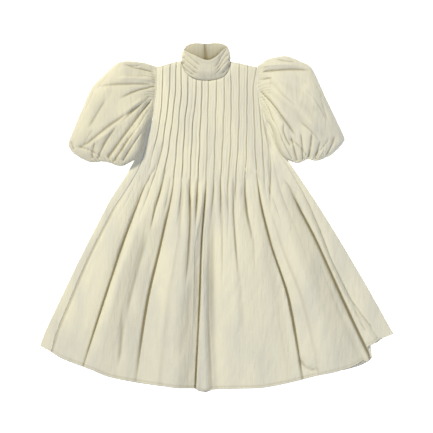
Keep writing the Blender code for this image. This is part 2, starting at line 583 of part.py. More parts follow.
def make_collar():
    base_front, base_back = Path(NECKLINE), Path(BACK_NECKLINE)
    top_front, top_back = Path(COLLAR_TOP_FRONT), Path(COLLAR_TOP_BACK)

    def inset(point):
        to_centre = NECK_CENTRE - point
        return point + to_centre * COLLAR_INSET / np.linalg.norm(to_centre)

    def plan(across, front, share):
        base, top = (base_front, top_front) if front else (base_back, top_back)
        low = inset(base.at(across)) if front else base.at(across) + np.array([0, SEAM_GAP * 2.5])
        corner = inset(base_front.at(round(across))) + np.array([0, COLLAR_INSET])
        inward = min(across, 1 - across) / 0.08
        low = low + (corner + (low - corner) * inward - low) * (1 - ease(inward))
        swell = COLLAR_SIDE_SWELL * math.sin(math.pi * share) * (2 * across - 1)
        return low + (top.at(across) - low) * share + np.array([swell, 0])

    def place(i, j):
        share = COLLAR_ROWS[j]
        shares = [row[0] for row in COLLAR_SECTIONS]
        top, side = (smooth(shares, [row[k] for row in COLLAR_SECTIONS], share) for k in (1, 2))
        front = i - COLLAR_BACK_COLUMNS
        if 0 <= front <= COLLAR_FRONT_COLUMNS:
            across = (1 - math.cos(math.pi * front / COLLAR_FRONT_COLUMNS)) / 2
            x, y = plan(across, True, share)
            shape = bulge(across, COLLAR_ROUNDING)
            fold = COLLAR_FOLD_HEIGHT * math.sin(2 * math.pi * COLLAR_FOLDS * share) * shape
            return x, y, side + (top - side) * shape + fold * ease(share / 0.1)
        left = front < 0
        part = i if left else 2 * COLLAR_BACK_COLUMNS + COLLAR_FRONT_COLUMNS - i
        across = (1 - math.cos(math.pi / 2 * (1 - part / COLLAR_BACK_COLUMNS))) / 2
        shape = bulge(across, COLLAR_ROUNDING)
        x, y = plan(across if left else 1 - across, False, share)
        if part == 0:
            x += -SEAM_GAP / 2 if left else SEAM_GAP / 2
        return x, y, side - (side - FLOOR_LAYER) * shape

    return cloth("collar", 2 * COLLAR_BACK_COLUMNS + COLLAR_FRONT_COLUMNS + 1, len(COLLAR_ROWS), place)


def main():
    for obj in list(bpy.data.objects):
        bpy.data.objects.remove(obj)
    make_front()
    make_back("back_left", LEFT_OUTLINE, LEFT_SHOULDER, LEFT_ARMHOLE, LEFT_STRIP_HEM, -1)
    make_back("back_right", RIGHT_OUTLINE, RIGHT_SHOULDER, RIGHT_ARMHOLE, RIGHT_STRIP_HEM, 1)
    make_sleeve("sleeve_left", LEFT_ARMHOLE, LEFT_SLEEVE_OUTER, LEFT_SLEEVE_LOWER, LEFT_SLEEVE_INNER,
                LEFT_CUFF_CENTRE, LEFT_CUFF_ANGLE, -1)
    make_sleeve("sleeve_right", RIGHT_ARMHOLE, RIGHT_SLEEVE_OUTER, RIGHT_SLEEVE_LOWER, RIGHT_SLEEVE_INNER,
                RIGHT_CUFF_CENTRE, RIGHT_CUFF_ANGLE, 1)
    make_cuff("cuff_left", LEFT_CUFF_CENTRE, LEFT_CUFF_ANGLE)
    make_cuff("cuff_right", RIGHT_CUFF_CENTRE, RIGHT_CUFF_ANGLE)
    make_collar()


main()
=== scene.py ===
"""Cream pintuck dress laid flat with its front up. Metres, +X to the picture's right, +Y from hem to collar."""

import math
from collections import namedtuple

import bmesh
import bpy
import numpy as np
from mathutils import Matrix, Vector


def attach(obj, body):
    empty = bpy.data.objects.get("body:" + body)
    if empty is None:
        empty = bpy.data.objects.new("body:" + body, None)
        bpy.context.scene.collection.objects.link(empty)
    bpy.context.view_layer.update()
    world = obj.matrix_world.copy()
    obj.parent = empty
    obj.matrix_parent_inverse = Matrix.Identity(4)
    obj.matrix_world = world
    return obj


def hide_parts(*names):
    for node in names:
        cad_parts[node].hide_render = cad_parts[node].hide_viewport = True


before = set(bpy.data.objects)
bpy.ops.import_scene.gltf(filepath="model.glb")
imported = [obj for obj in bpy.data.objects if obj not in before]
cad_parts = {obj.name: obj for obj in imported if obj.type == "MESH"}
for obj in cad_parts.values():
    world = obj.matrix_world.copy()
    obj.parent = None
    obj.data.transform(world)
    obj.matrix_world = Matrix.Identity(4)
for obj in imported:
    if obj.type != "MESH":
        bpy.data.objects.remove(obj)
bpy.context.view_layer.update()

# ---- Front panel ------------------------------------------------------------------------------------------
# One large piece of cream cotton taffeta with sixteen narrow tucks pressed and stitched down the bodice.
# The tucks are let go below the waist and open into the folds of the skirt. Sewn to the backs at its sides.

CLOTH_WALL = 0.0005


def metres(*points):
    """Points given in millimetres."""
    return tuple((x / 1000, y / 1000) for x, y in points)


# The edge of the front from one underarm to the other: armhole, shoulder, neckline, shoulder, armhole. In
# millimetres, as all outlines are.
LEFT_ARMHOLE = metres((-225, 340), (-219, 386), (-212, 433), (-208.2, 466), (-208.8, 497), (-212.5, 527))
LEFT_SHOULDER = metres((-212.5, 527), (-190, 532), (-164, 540), (-125, 549))
NECKLINE = metres(
    (-125, 549), (-117, 522), (-104, 502), (-76, 484), (-38, 478.5), (-13, 480), (22, 491), (41, 513),
    (49, 546),
)
RIGHT_SHOULDER = metres((49, 546), (81, 540), (111, 533), (141, 527))
RIGHT_ARMHOLE = metres((141, 527), (141.5, 497), (141.5, 466), (144, 440), (150, 405), (160, 370), (170.5, 338))
BACK_NECKLINE = metres((-125, 549), (-100, 544), (-36, 541), (25, 543), (49, 546))

# The outline of the skirt: y, then x.
LEFT_OUTLINE = metres(
    (338, -235), (318, -249.5), (281, -263), (235, -276), (190, -294), (146, -319), (57, -376), (-6, -409),
    (-157, -486), (-304, -556), (-409, -605), (-451, -620),
)
RIGHT_OUTLINE = metres(
    (336, 181.5), (314, 199), (270, 217), (228, 233), (200, 250), (179, 264), (95, 321), (11, 375),
    (-115, 452), (-262, 538), (-409, 620),
)
# How wide the strip of back panel is that shows between the outline and the side seam: y, width.
LEFT_STRIP_WIDTH = metres(
    (340, 9.5), (318, 17.5), (281, 24), (235, 24), (183, 30), (146, 32), (85, 35), (8, 27), (-80, 26.5),
    (-290, 35), (-430, 44),
)
RIGHT_STRIP_WIDTH = metres(
    (340, 10.5), (314, 19), (270, 18), (228, 16), (179, 18), (95, 24), (-80, 55), (-150, 70), (-220, 77),
    (-290, 82), (-335, 77), (-370, 68), (-420, 54),
)
# The hem of the front, and that of the strips of back panel that show past the side seams: x, then y.
FRONT_HEM = metres(
    (-577, -473), (-545, -493), (-493, -514), (-433, -535), (-384, -556), (-290, -577), (-199, -589),
    (-132, -597), (-78, -600), (-59, -608), (-38, -611), (-13, -603), (20, -600), (81, -599), (148, -597),
    (204, -589), (263, -577), (344, -556), (435, -535), (491, -514), (516, -494), (526, -455), (549, -444),
    (571, -428),
)
LEFT_STRIP_HEM = metres((-620, -451), (-577, -473))
RIGHT_STRIP_HEM = metres((571, -428), (620, -409))
BACK_HEM_SHORTER = 0.004

LINE_ROWS = (0.53, 0.445, 0.34, 0.235, 0.095, -0.08, -0.29, -0.57)
# Heights at which the relief of the skirt is given, under the stitched part of the tucks.
RELIEF_ROWS = (0.135, 0.02, -0.29, -0.57)
TUCK_VALLEY, TUCK_CROWN, SIDE_LEVEL = 0.0062, 0.0074, 0.0053

Line = namedtuple("Line", "name start at valley crown")
# A row for each fold line of the front, from the left side seam to the right one, in millimetres. start: where it
# leaves the top edge. at: its x at each of LINE_ROWS (a side seam keeps to the outline). valley and crown: the
# height at the line, and of the cloth between it and the next line, at hip, knee and hem.
LINES = (
    Line("left_side_seam", (-225, 340), None, (5, 5, 5), (7.5, 7.5, 7)),
    Line("left_hollow", (-222.5, 352), (-211.8, -210, -220.5, -244.5, -295, -391, -479, -577), (4.6, 5.2, 6),
         (9, 9, 8.5)),
    Line("left_tip", (-212.5, 527), (-211.5, -202, -213, -238, -281, -358, -437, -531), (8.6, 8.8, 8),
         (8.8, 9.5, 8)),
    Line("tuck_01", (-190, 532), (-190, -192, -201, -223, -262, -325, -395, -485), (5.5, 6.2, 7.5),
         (9.5, 10.5, 8.5)),
    Line("tuck_02", (-163, 540), (-163, -167, -179, -195, -237, -293, -349, -420), (7, 8.5, 7.8), (10, 11, 9)),
    Line("tuck_03", (-142, 545), (-142, -146, -157, -171, -199, -241, -300, -352), (7.5, 9, 8), (10, 10.5, 9)),
    Line("tuck_04", (-125, 549), (-121, -125, -134, -143, -157, -192, -241, -284), (5.8, 7.5, 8),
         (13, 17.5, 14)),
    Line("tuck_05", (-101, 500), (-100, -101, -112, -118, -126, -142, -178, -209), (8.5, 14, 12),
         (12, 15.5, 14)),
    Line("tuck_06", (-73, 483), (-73, -73, -84, -90, -96, -101, -115, -133), (7, 9, 12), (10.5, 12, 11.5)),
    Line("tuck_07", (-52, 480), (-52, -52, -58, -62, -69, -76, -83, -99), (7.5, 9.5, 8.5), (9.5, 9.5, 7)),
    Line("tuck_08", (-27, 479), (-27, -27, -30, -32, -38, -52, -60, -74), (4.2, 3.6, 4), (16, 21.5, 21.5)),
    Line("tuck_09", (1, 484), (1, 1, -2, -5, -10, -24, -27, -14), (10, 11, 12), (13.5, 18, 15)),
    Line("tuck_10", (29, 496), (29, 29, 26, 22, 15, 16, 18, 29), (7.5, 12, 12), (12, 14.5, 13)),
    Line("tuck_11", (49, 546), (53, 53, 52, 50, 40, 43, 53, 78), (9, 12, 11), (12, 14, 12.5)),
    Line("tuck_12", (81, 540), (81, 81, 80, 76, 67, 76, 92, 127), (9, 12.5, 11), (12.5, 14.5, 12.5)),
    Line("tuck_13", (111, 533), (111, 109, 108, 106, 100, 128, 144, 181), (8.5, 11, 10.5), (12, 15, 12)),
    Line("tuck_14", (141, 527), (139, 130, 134, 137, 148, 186, 253, 302), (4, 4.5, 6), (11.5, 15, 9.5)),
    Line("tuck_15", (147, 420), (141, 142, 155, 163, 172, 214, 291, 356), (8.5, 12, 8.5), (11, 13, 9.5)),
    Line("tuck_16", (160, 370), (146, 150, 164.5, 184, 193, 253, 340, 414), (8, 11, 8.5), (12, 13, 10)),
    Line("right_slope", (165, 357), (150, 152, 166.5, 191, 222, 295, 365, 470), (7.5, 9, 8.5), (12, 15, 15)),
    Line("right_fold", (167.5, 346), (152, 154, 168.5, 196, 258, 349, 445, 577), (4.6, 4.2, 4.2),
         (6.6, 6.6, 5.5)),
    Line("right_side_seam", (170.5, 338), None, (5, 5, 5), (5, 5, 5)),
)
MIDDLE_TUCK = "tuck_08"
# Where the stitching of each tuck stops: name, y.
TUCK_ENDS = {
    "tuck_01": 0.262, "tuck_02": 0.176, "tuck_03": 0.16, "tuck_04": 0.148, "tuck_05": 0.141, "tuck_06": 0.143,
    "tuck_07": 0.137, "tuck_08": 0.134, "tuck_09": 0.139, "tuck_10": 0.141, "tuck_11": 0.145, "tuck_12": 0.15,
    "tuck_13": 0.142, "tuck_14": 0.136, "tuck_15": 0.205, "tuck_16": 0.275,
}
TUCK_HEIGHT, TUCK_WIDTH, TUCK_EDGE, TUCK_GROOVE = 0.0012, 0.005, 0.0012, 0.0036
# The folded edge of each tuck under the next one: how far from the line it lies, how deep it marks, how wide.
TUCK_MARK, TUCK_MARK_DEPTH, TUCK_MARK_WIDTH = 0.01, 0.0014, 0.0014
TUCK_MARKS = {"tuck_05": 0.5, "tuck_06": 0.8, "tuck_07": 0.9, "tuck_08": 0.8, "tuck_09": 0.5, "tuck_10": 0.5,
              "tuck_11": 0.8, "tuck_12": 0.9, "tuck_13": 1.2, "tuck_14": 1.2, "tuck_15": 0.8}
# How far the tucks waver from side to side, how soon the opened ones run out, and how they widen on the way.
TUCK_WAVER, TUCK_RUNS_OUT, TUCK_OPENS, TUCK_OPEN_LENGTH = 0.0007, 0.17, 0.016, 0.12
# The waist, under which the skirt's own folds take over, and how far below the top edge the lines come true.
WAIST, SKIRT_OPENS, TOP_RUN = 0.15, 0.22, 0.12
# How sharp the cloth breaks at a fold line; 1 is a soft wave.
LINE_SHARPNESS = {"tuck_04": 0.62, "tuck_08": 0.36, "tuck_09": 0.7, "tuck_14": 0.5, "left_hollow": 0.55,
                  "right_fold": 0.6}
PLAIN_SHARPNESS = 0.8
# Columns of points in each strip between two lines, close together at the lines where the tucks stand.
STRIP_PARTS = (0, 0.035, 0.075, 0.13, 0.21, 0.33, 0.46, 0.58, 0.635, 0.69, 0.79, 0.87, 0.93, 0.97)
FRONT_ROWS = np.concatenate([
    np.linspace(0, 0.02, 6)[:-1], np.linspace(0.02, 0.33, 48)[:-1], np.linspace(0.33, 0.52, 40)[:-1],
    np.linspace(0.52, 0.975, 58)[:-1], (0.975, 0.982, 0.9875, 0.992, 0.9937, 0.9955, 0.9985, 1.0)])

Fold = namedtuple("Fold", "path height left right starts ends", defaults=(0.3, 0.3))
# Folds that the cloth lies in, in millimetres: line in plan, height (a hollow is negative), how far it reaches
# on the left and right of the way it runs, and then the share of its length over which it starts and ends, 0.3
# of it where a row doesn't say.
FRONT_FOLDS = (
    Fold(((-52, -70), (-51, -220), (-47, -400), (-40, -610)), 5, 30, 5, 0.25, 0.01),
    Fold(((-50, 130), (-52, 50), (-60, -10), (-72, -60), (-78, -110), (-81, -230), (-85, -360), (-92, -470)),
         3, 4, 8, 0.1, 0.3),
    Fold(((99, 148), (99, 71), (104, 15), (116, -40), (134, -110)), -3.6, 6, 9, 0.1, 0.5),
    Fold(((186, 300), (190, 186), (186, 79), (190, 20)), -5, 4, 5, 0.2, 0.3),
    Fold(((-186, 272), (-209, 186), (-232, 148), (-266, 79), (-293, -4)), -5, 7, 4, 0.1, 0.3),
    Fold(((-178, 180), (-193, 109), (-216, 34), (-235, -61)), -4.4, 6, 4, 0.1, 0.3),
    Fold(((-160, 150), (-176, 60), (-190, -10)), -3.6, 5, 4, 0.1, 0.4),
    Fold(((-95, 145), (-94, -4), (-102, -157), (-112, -280)), -4.6, 7, 4, 0.08, 0.3),
    Fold(((290, -480), (305, -518), (337, -532), (370, -530)), -4, 16, 12),
    Fold(((60, 145), (58, 50), (64, -80), (78, -250)), -3.6, 7, 4, 0.08, 0.4),
    Fold(((-66, 140), (-70, 60), (-74, -40)), -4, 5, 4, 0.1, 0.4),
    Fold(((-120, 146), (-128, 90), (-138, 20), (-150, -60)), 3.4, 6, 8, 0.1, 0.4),
    Fold(((-105, -200), (-112, -380), (-130, -540)), -4.4, 28, 18),
    Fold(((-330, -300), (-335, -430), (-345, -540)), -2.6, 16, 12, 0.4, 0.3),
    Fold(((-245, -20), (-262, -120), (-300, -270), (-320, -380)), -4.4, 30, 30),
    Fold(((-325, -110), (-372, -280), (-430, -450)), 3, 16, 12),
    Fold(((60, -120), (62, -260), (72, -420)), 3, 16, 16),
    Fold(((-180, -220), (-190, -360), (-210, -500)), 2.6, 16, 18),
    Fold(((98, 176), (106, 160), (112, 146)), 2.4, 4, 5),
    Fold(((-10, 166), (0, 156), (10, 146)), 2, 4, 5),
    Fold(((-98, 168), (-106, 156), (-112, 144)), 2, 5, 4),
    Fold(((134, 168), (142, 156), (146, 144)), 2, 4, 5),
    Fold(((470, -300), (500, -360), (530, -420)), -3, 6, 6, 0.3, 0.2),
    Fold(((-136, 158), (-115, 95), (-122, 25), (-128, -45), (-122, -122)), -1.2, 2.6, 7.5, 0.15, 0.4),
    Fold(((-106, 148), (-97, 95), (-89, 25), (-92, -45), (-94, -115), (-103, -237)), -1.6, 2.6, 7.5, 0.15,
         0.3),
    Fold(((-75, 148), (-67, 95), (-73, 25), (-74, -45), (-76, -115), (-76, -234)), -1.5, 2.6, 7.5, 0.15, 0.3),
    Fold(((-17, 144), (-10, 95), (-7, 25), (-1, -52)), -0.9, 2.6, 7.5, 0.15, 0.4),
    Fold(((11, 148), (15, 95), (23, 25), (20, -45), (20, -115), (16, -255)), -1.7, 3, 7.5, 0.1, 0.3),
    Fold(((19, 148), (30, 95), (40, 25), (38, -45), (41, -136)), -1.4, 2.6, 7.5, 0.15, 0.4),
    Fold(((71, 148), (65, 95), (58, 25), (57, -59)), -1.4, 2.6, 7.5, 0.15, 0.4),
    Fold(((99, 148), (95, 95), (80, 25), (85, -45), (90, -136)), -1.2, 2.6, 7.5, 0.15, 0.4),
    Fold(((108, 148), (108, 95), (106, 25), (121, -45), (114, -122)), -1.6, 2.8, 7.5, 0.1, 0.4),
    Fold(((134, 148), (138, 95), (132, 25), (130, -45), (131, -115), (136, -237)), -1.2, 2.6, 7.5, 0.15, 0.4),
    Fold(((172, 148), (187, 95), (210, 25), (238, -52)), -1.4, 2.8, 7.5, 0.15, 0.4),
    Fold(((228, 137), (264, 95), (295, 25), (332, -45), (364, -115)), -1.9, 4, 7.5, 0.1, 0.3),
    Fold(((277, 144), (302, 95), (356, 22), (396, -52)), -1.6, 3, 7.5, 0.1, 0.3),
    Fold(((-227, 200), (-237, 144), (-238, 95), (-262, 25), (-290, -48)), -1.6, 2.6, 7.5, 0.1, 0.3),
    Fold(((-237, 158), (-261, 95), (-287, 25), (-312, -45), (-338, -115), (-370, -220)), -1.9, 3.4, 7.5, 0.1,
         0.3),
    Fold(((-198, 148), (-212, 95), (-231, 25), (-232, -48)), -1.2, 2.6, 7.5, 0.15, 0.4),
)
# The folds that run on to the hem, in millimetres. before, valley and after: heights left of the line, in it and
# right of it, at hip, knee and hem. rises: how far from the line the cloth has come up, on its left and right.
# crest: how much higher the broad fold between this line and the next is. crest_at: the share of the way there.
MainFold = namedtuple("MainFold", "line before valley after rises crest crest_at")
MAIN_ROWS = (0.06, -0.26, -0.58)
MAIN_FOLDS = (
    MainFold("left_side_seam", (5, 5, 5), (5, 5, 5), (9, 8.5, 7.5), (10, 16), (4, 4, 2), 0.35),
    MainFold("tuck_01", (12.5, 13, 10), (6, 8, 11), (13, 16, 13), (12, 8), (10, 13, 6), 0.2),
    MainFold("tuck_04", (9.5, 8, 9), (4.4, 4.4, 9), (12, 12, 10), (12, 6), (10, 24, 18), 0.68),
    MainFold("tuck_08", (12, 7, 6), (3.1, 3.1, 3.1), (18, 24, 22), (6, 6), (-6, -14, -13), 0.46),
    MainFold("tuck_10", (17, 22, 18), (14, 21, 17.5), (17, 22, 18), (6, 10), (3, 4, 3), 0.4),
    MainFold("tuck_14", (15, 11, 12), (4, 4.4, 11), (12, 13, 13), (8, 6), (14, 22, 10), 0.46),
    MainFold("right_fold", (11, 8, 8), (4.2, 4.2, 6.5), (9.5, 9.5, 7.5), (16, 6), (3, 3, 2), 0.4),
    MainFold("right_side_seam", (6, 6, 5), (5, 5, 5), (5, 5, 5), (6, 10), (0, 0, 0), 0.5),
)


def through(rows, at):
    """A curve through (station, value) rows with no overshoot, straight beyond its ends."""
    x, y = np.array(sorted(rows), float).T
    step = np.diff(x)
    slope = np.diff(y) / step
    both, total = slope[:-1] * slope[1:], slope[:-1] + slope[1:]
    inner = np.where(both > 0, 2 * both / np.where(both > 0, total, 1), 0)
    tangent = np.concatenate([slope[:1], inner, slope[-1:]])
    at = np.asarray(at, float)
    i = np.clip(np.searchsorted(x, at) - 1, 0, len(x) - 2)
    t = (at - x[i]) / step[i]
    rise = y[i + 1] - y[i]
    inside = y[i] + rise * t + t * (1 - t) * ((1 - t) * (tangent[i] * step[i] - rise)
                                              + t * (rise - tangent[i + 1] * step[i]))
    before = y[0] + (at - x[0]) * tangent[0]
    after = y[-1] + (at - x[-1]) * tangent[-1]
    return np.where(at < x[0], before, np.where(at > x[-1], after, inside))


def ease(t):
    """0 to 1 with soft ends."""
    t = np.clip(t, 0.0, 1.0)
    return t * t * (3 - 2 * t)


def rounded(run, per_span=12):
    """Points of a soft line through the run's points."""
    p = np.array([run[0], *run, run[-1]], float)
    t = (np.arange(per_span) / per_span)[:, None]
    spans = [
        0.5 * (2 * b + (c - a) * t + (2 * a - 5 * b + 4 * c - d) * t**2 + (3 * b - a - 3 * c + d) * t**3)
        for a, b, c, d in zip(p, p[1:], p[2:], p[3:])
    ]
    return np.concatenate([*spans, p[-1:]])


class Edge:
    """A soft line in plan, read by its share of length."""

    def __init__(self, *runs):
        parts = [rounded(run) for run in runs]
        self.points = np.concatenate([parts[0]] + [part[1:] for part in parts[1:]])
        gone = np.linalg.norm(np.diff(self.points, axis=0), axis=1)
        self.share = np.concatenate([[0], np.cumsum(gone)]) / gone.sum()

    def at(self, share):
        return np.stack([np.interp(share, self.share, self.points[:, k]) for k in (0, 1)], -1)

    def nearest(self, x, y):
        """Distance from each point to the line, and the share of length where it is nearest."""
        far = np.hypot(x[..., None] - self.points[:, 0], y[..., None] - self.points[:, 1])
        return far.min(-1), self.share[far.argmin(-1)]


# The section of a fold: how far it is felt, how high it stands, how crisp its top is and how fast it falls.
FOLD_REACH, FOLD_LIFT, FOLD_CRISPNESS, FOLD_FALL = 4.5, 1.5, 0.03, 1.1


def fold_height(x, y, folds):
    """Height that the listed folds add to the cloth at each point in plan."""
    x, y = np.asarray(x, float), np.asarray(y, float)
    added = np.zeros(x.shape)
    for fold in folds:
        line = rounded(np.array(fold.path) / 1000, 5)
        height, left, right = (size / 1000 for size in (fold.height, fold.left, fold.right))
        reach = FOLD_REACH * max(left, right)
        near = (
            (x > line[:, 0].min() - reach) & (x < line[:, 0].max() + reach)
            & (y > line[:, 1].min() - reach) & (y < line[:, 1].max() + reach)
        )
        if not near.any():
            continue
        a, run = line[:-1], np.diff(line, axis=0)
        long = np.linalg.norm(run, axis=1)
        p = np.stack([x[near], y[near]], 1)[:, None, :] - a
        t = np.clip((p * run).sum(-1) / long**2, 0, 1)
        off = p - t[..., None] * run
        k = np.hypot(off[..., 0], off[..., 1]).argmin(1)
        rows = np.arange(len(k))
        off, p, t = off[rows, k], p[rows, k], t[rows, k]
        beside = run[k, 0] * p[:, 1] - run[k, 1] * p[:, 0]
        along = ((np.cumsum(long) - long)[k] + t * long[k]) / long.sum()
        far = np.hypot(off[:, 0], off[:, 1]) / np.where(beside > 0, left, right)
        shape = FOLD_LIFT * height * np.exp(-np.sqrt(far**2 + FOLD_CRISPNESS) * FOLD_FALL)
        added[near] += shape * ease(along / fold.starts) * ease((1 - along) / fold.ends)
    return added


def rumple(x, y, size, along=(0.25, 1.0)):
    """Slight unevenness of crisp cloth, longer along its folds. size is its full height."""
    u, v = x * along[1] - y * along[0], x * along[0] + y * along[1]
    waves = ((61, 13, 0.3), (97, -21, 1.9), (143, 37, 4.1), (88, 52, 2.6), (171, -44, 0.9), (118, 71, 5.2))
    return size / 4 * sum(np.sin(a * u + b * v + c + 1.7 * np.sin(19 * v + c)) for a, b, c in waves) / 2


def linear(code):
    """A hex colour as the shader's linear one."""
    parts = [int(code[k:k + 2], 16) / 255 for k in (1, 3, 5)]
    return (*[c / 12.92 if c <= 0.04045 else ((c + 0.055) / 1.055) ** 2.4 for c in parts], 1.0)


def node(tree, kind, values=None, links=None, **settings):
    """Adds one node: values by input name or number, links as input: (node, output)."""
    made = tree.nodes.new(kind)
    for key, value in settings.items():
        setattr(made, key, value)
    for key, value in (values or {}).items():
        made.inputs[key].default_value = value
    for key, (source, output) in (links or {}).items():
        tree.links.new(source.outputs[output], made.inputs[key])
    return made


def cream_cotton_taffeta():
    """Closely woven cotton taffeta, pressed and unlined: crisp and nearly matt, with a faint silky lift at edges.

    Threads lie about 0.35 mm apart; the weave is drawn at 1.4 mm so that it shows at all, and slubs at 6 mm.
    Handling leaves long fine crinkles about 10 mm wide. Painted light and shade: the colour drifts a little, in
    long soft patches, between a lit cream and a shaded grey.
    """
    material = bpy.data.materials.new("cream_cotton_taffeta")
    material.use_nodes = True
    tree = material.node_tree
    shader = tree.nodes["Principled BSDF"]
    shader.inputs["Roughness"].default_value = 0.68
    shader.inputs["IOR"].default_value = 1.45
    shader.inputs["Sheen Weight"].default_value = 0.12
    shader.inputs["Sheen Roughness"].default_value = 0.45
    place = node(tree, "ShaderNodeTexCoord")
    drawn = node(tree, "ShaderNodeMapping", {"Scale": (1.0, 0.35, 1.0)}, {"Vector": (place, "Object")})
    cloud = node(tree, "ShaderNodeTexNoise", {"Scale": 11.0, "Detail": 3.0}, {"Vector": (drawn, "Vector")})
    # Painted light and shade in long random patches, from the shaded grey to the lit cream.
    tint = node(tree, "ShaderNodeValToRGB", links={"Fac": (cloud, "Fac")})
    tint.color_ramp.elements[0].position = 0.38
    tint.color_ramp.elements[0].color = linear(CREAM_SHADE)
    tint.color_ramp.elements[1].position = 0.6
    tint.color_ramp.elements[1].color = linear(CREAM_LIGHT)
    # Painted shade: the sheet's hollow attribute mixes the colour towards the darker painted fold shade.
    hollow = node(tree, "ShaderNodeAttribute", attribute_name="hollow")
    painted_deep_shade = node(tree, "ShaderNodeMix", {7: linear(CREAM_PAINTED_FOLD_SHADE)}, {0: (hollow, "Fac"), 6: (tint, "Color")},
                data_type="RGBA")
    tree.links.new(painted_deep_shade.outputs[2], shader.inputs["Base Color"])
    warp, weft = (
        node(tree, "ShaderNodeTexWave", {"Scale": THREADS_PER_METRE / 20, "Distortion": 1.5},
             {"Vector": (place, "Object")}, bands_direction=way) for way in "XY")
    weave = node(tree, "ShaderNodeMath", links={0: (warp, "Fac"), 1: (weft, "Fac")}, operation="MULTIPLY")
    slubs = node(tree, "ShaderNodeTexNoise", {"Scale": 160.0, "Detail": 3.0}, {"Vector": (place, "Object")})
    fine = node(tree, "ShaderNodeBump", {"Strength": 0.12, "Distance": 0.0002}, {"Height": (weave, "Value")})
    coarse = node(tree, "ShaderNodeBump", {"Strength": 0.25, "Distance": 0.0006},
                  {"Height": (slubs, "Fac"), "Normal": (fine, "Normal")})
    pulled = node(tree, "ShaderNodeMapping", {"Scale": (1.0, 0.22, 1.0), "Rotation": (0.0, 0.0, 0.12)},
                  {"Vector": (place, "Object")})
    crinkle = node(tree, "ShaderNodeTexNoise", {"Scale": 95.0, "Detail": 2.5, "Distortion": 0.4},
                   {"Vector": (pulled, "Vector")})
    crisp = node(tree, "ShaderNodeBump", {"Strength": 0.9, "Distance": 0.0030},
                 {"Height": (crinkle, "Fac"), "Normal": (coarse, "Normal")})
    tree.links.new(crisp.outputs["Normal"], shader.inputs["Normal"])
    return material


def hollows(z, across, down, depth):
    """0 to 1 where a sheet's heights dip below those around them, to full at that depth."""
    around = np.pad(z, ((down, down), (across, across)), mode="edge")
    around = np.lib.stride_tricks.sliding_window_view(around, (2 * down + 1, 2 * across + 1)).mean((2, 3))
    return np.clip((around - z) / depth, 0, 1)


def cloth(name, points, closed=False, shade=None):
    """A thin sheet laid on points[row, column], a tube if it is closed, with its painted shade from 0 to 1."""
    rows, columns = points.shape[:2]
    bm = bmesh.new()
    bmesh.ops.create_grid(bm, x_segments=columns - 1, y_segments=rows - 1, size=1)
    # Each point keeps its painted shade in the hollow attribute.
    hollow = bm.verts.layers.float.new("hollow")
    for v in bm.verts:
        i = round((v.co.x + 1) / 2 * (columns - 1))
        j = round((v.co.y + 1) / 2 * (rows - 1))
        i = i % (columns - 1) if closed else i
        v[hollow] = 0 if shade is None else shade[j, i]
        v.co = Vector(points[j, i])
    if closed:
        bmesh.ops.remove_doubles(bm, verts=bm.verts, dist=1e-6)
    bmesh.ops.recalc_face_normals(bm, faces=bm.faces)
    if not closed and sum(f.normal.z * f.calc_area() for f in bm.faces) < 0:
        bmesh.ops.reverse_faces(bm, faces=bm.faces)
    mesh = bpy.data.meshes.new(name)
    bm.to_mesh(mesh)
    bm.free()
    mesh.materials.append(TAFFETA)
    mesh.shade_smooth()
    made = bpy.data.objects.new(name, mesh)
    bpy.context.scene.collection.objects.link(made)
    wall = made.modifiers.new("wall", "SOLIDIFY")
    wall.thickness = CLOTH_WALL
    wall.offset = 0
    return made


def finish_piece(piece, solid):
    """Puts a finished cloth piece in the place of its solid."""
    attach(piece, "root")
    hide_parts(solid)


# Cream in painted light and in painted shade, and the darker painted shade laid into folds.
CREAM_LIGHT, CREAM_SHADE, CREAM_PAINTED_FOLD_SHADE = "#EAE7D0", "#DEDCCB", "#897F5D"
THREADS_PER_METRE = 700
TAFFETA = cream_cotton_taffeta()
FRONT_EDGE = Edge(LEFT_ARMHOLE, LEFT_SHOULDER, NECKLINE, RIGHT_SHOULDER, RIGHT_ARMHOLE)
UNDERARM_Y, SIDE_SEAM_Z, EDGE_LAYER = 0.34, 0.005, 0.00255
NECK_FRONT_Z, ARMHOLE_FRONT_Z = 0.0062, 0.005
EDGE_LEVEL, EDGE_RISE, SEAM_RISE = 0.001, 0.012, 0.012
LOWEST_FRONT = 0.003
HEM_STITCHING, FRONT_RUMPLE = 0.0075, 0.0016
# Cloth that slopes away to the right, turned from the key light, gets painted shade: over how many columns, how
# much, and up to what slope.
SLOPE_COLUMNS, SLOPE_SHADE, STEEPEST = 11, 0.6, 0.22


def share_of(point):
    return float(FRONT_EDGE.nearest(np.array([point[0]]), np.array([point[1]]))[1][0])


LINE_SHARES = [share_of(np.array(line.start) / 1000) for line in LINES]
NECK_SHARES = share_of(NECKLINE[0]), share_of(NECKLINE[-1])
TIP_SHARES = share_of(LEFT_SHOULDER[0]), share_of(RIGHT_SHOULDER[-1])


def edge_height(share):
    """Height of the front's top edge: on the back at the shoulders, lifted at neckline and armholes."""
    along = np.clip((share - NECK_SHARES[0]) / (NECK_SHARES[1] - NECK_SHARES[0]), 0, 1)
    neck = EDGE_LAYER + (NECK_FRONT_Z - EDGE_LAYER) * np.sin(np.pi * along) ** 0.6
    past = np.maximum((TIP_SHARES[0] - share) / TIP_SHARES[0], (share - TIP_SHARES[1]) / (1 - TIP_SHARES[1]))
    side = EDGE_LAYER + (ARMHOLE_FRONT_Z - EDGE_LAYER) * ease(past / 0.15)
    return np.where((share > NECK_SHARES[0]) & (share < NECK_SHARES[1]), neck, side)


def line_x(line, y):
    """x of a fold line at height y down the front; the side seams keep to the outline."""
    below_arm = np.minimum(y, UNDERARM_Y)
    if line.name == "left_side_seam":
        return through(LEFT_OUTLINE, below_arm) + through(LEFT_STRIP_WIDTH, below_arm)
    if line.name == "right_side_seam":
        return through(RIGHT_OUTLINE, below_arm) - through(RIGHT_STRIP_WIDTH, below_arm)
    return through(list(zip(LINE_ROWS, np.array(line.at) / 1000)), y)


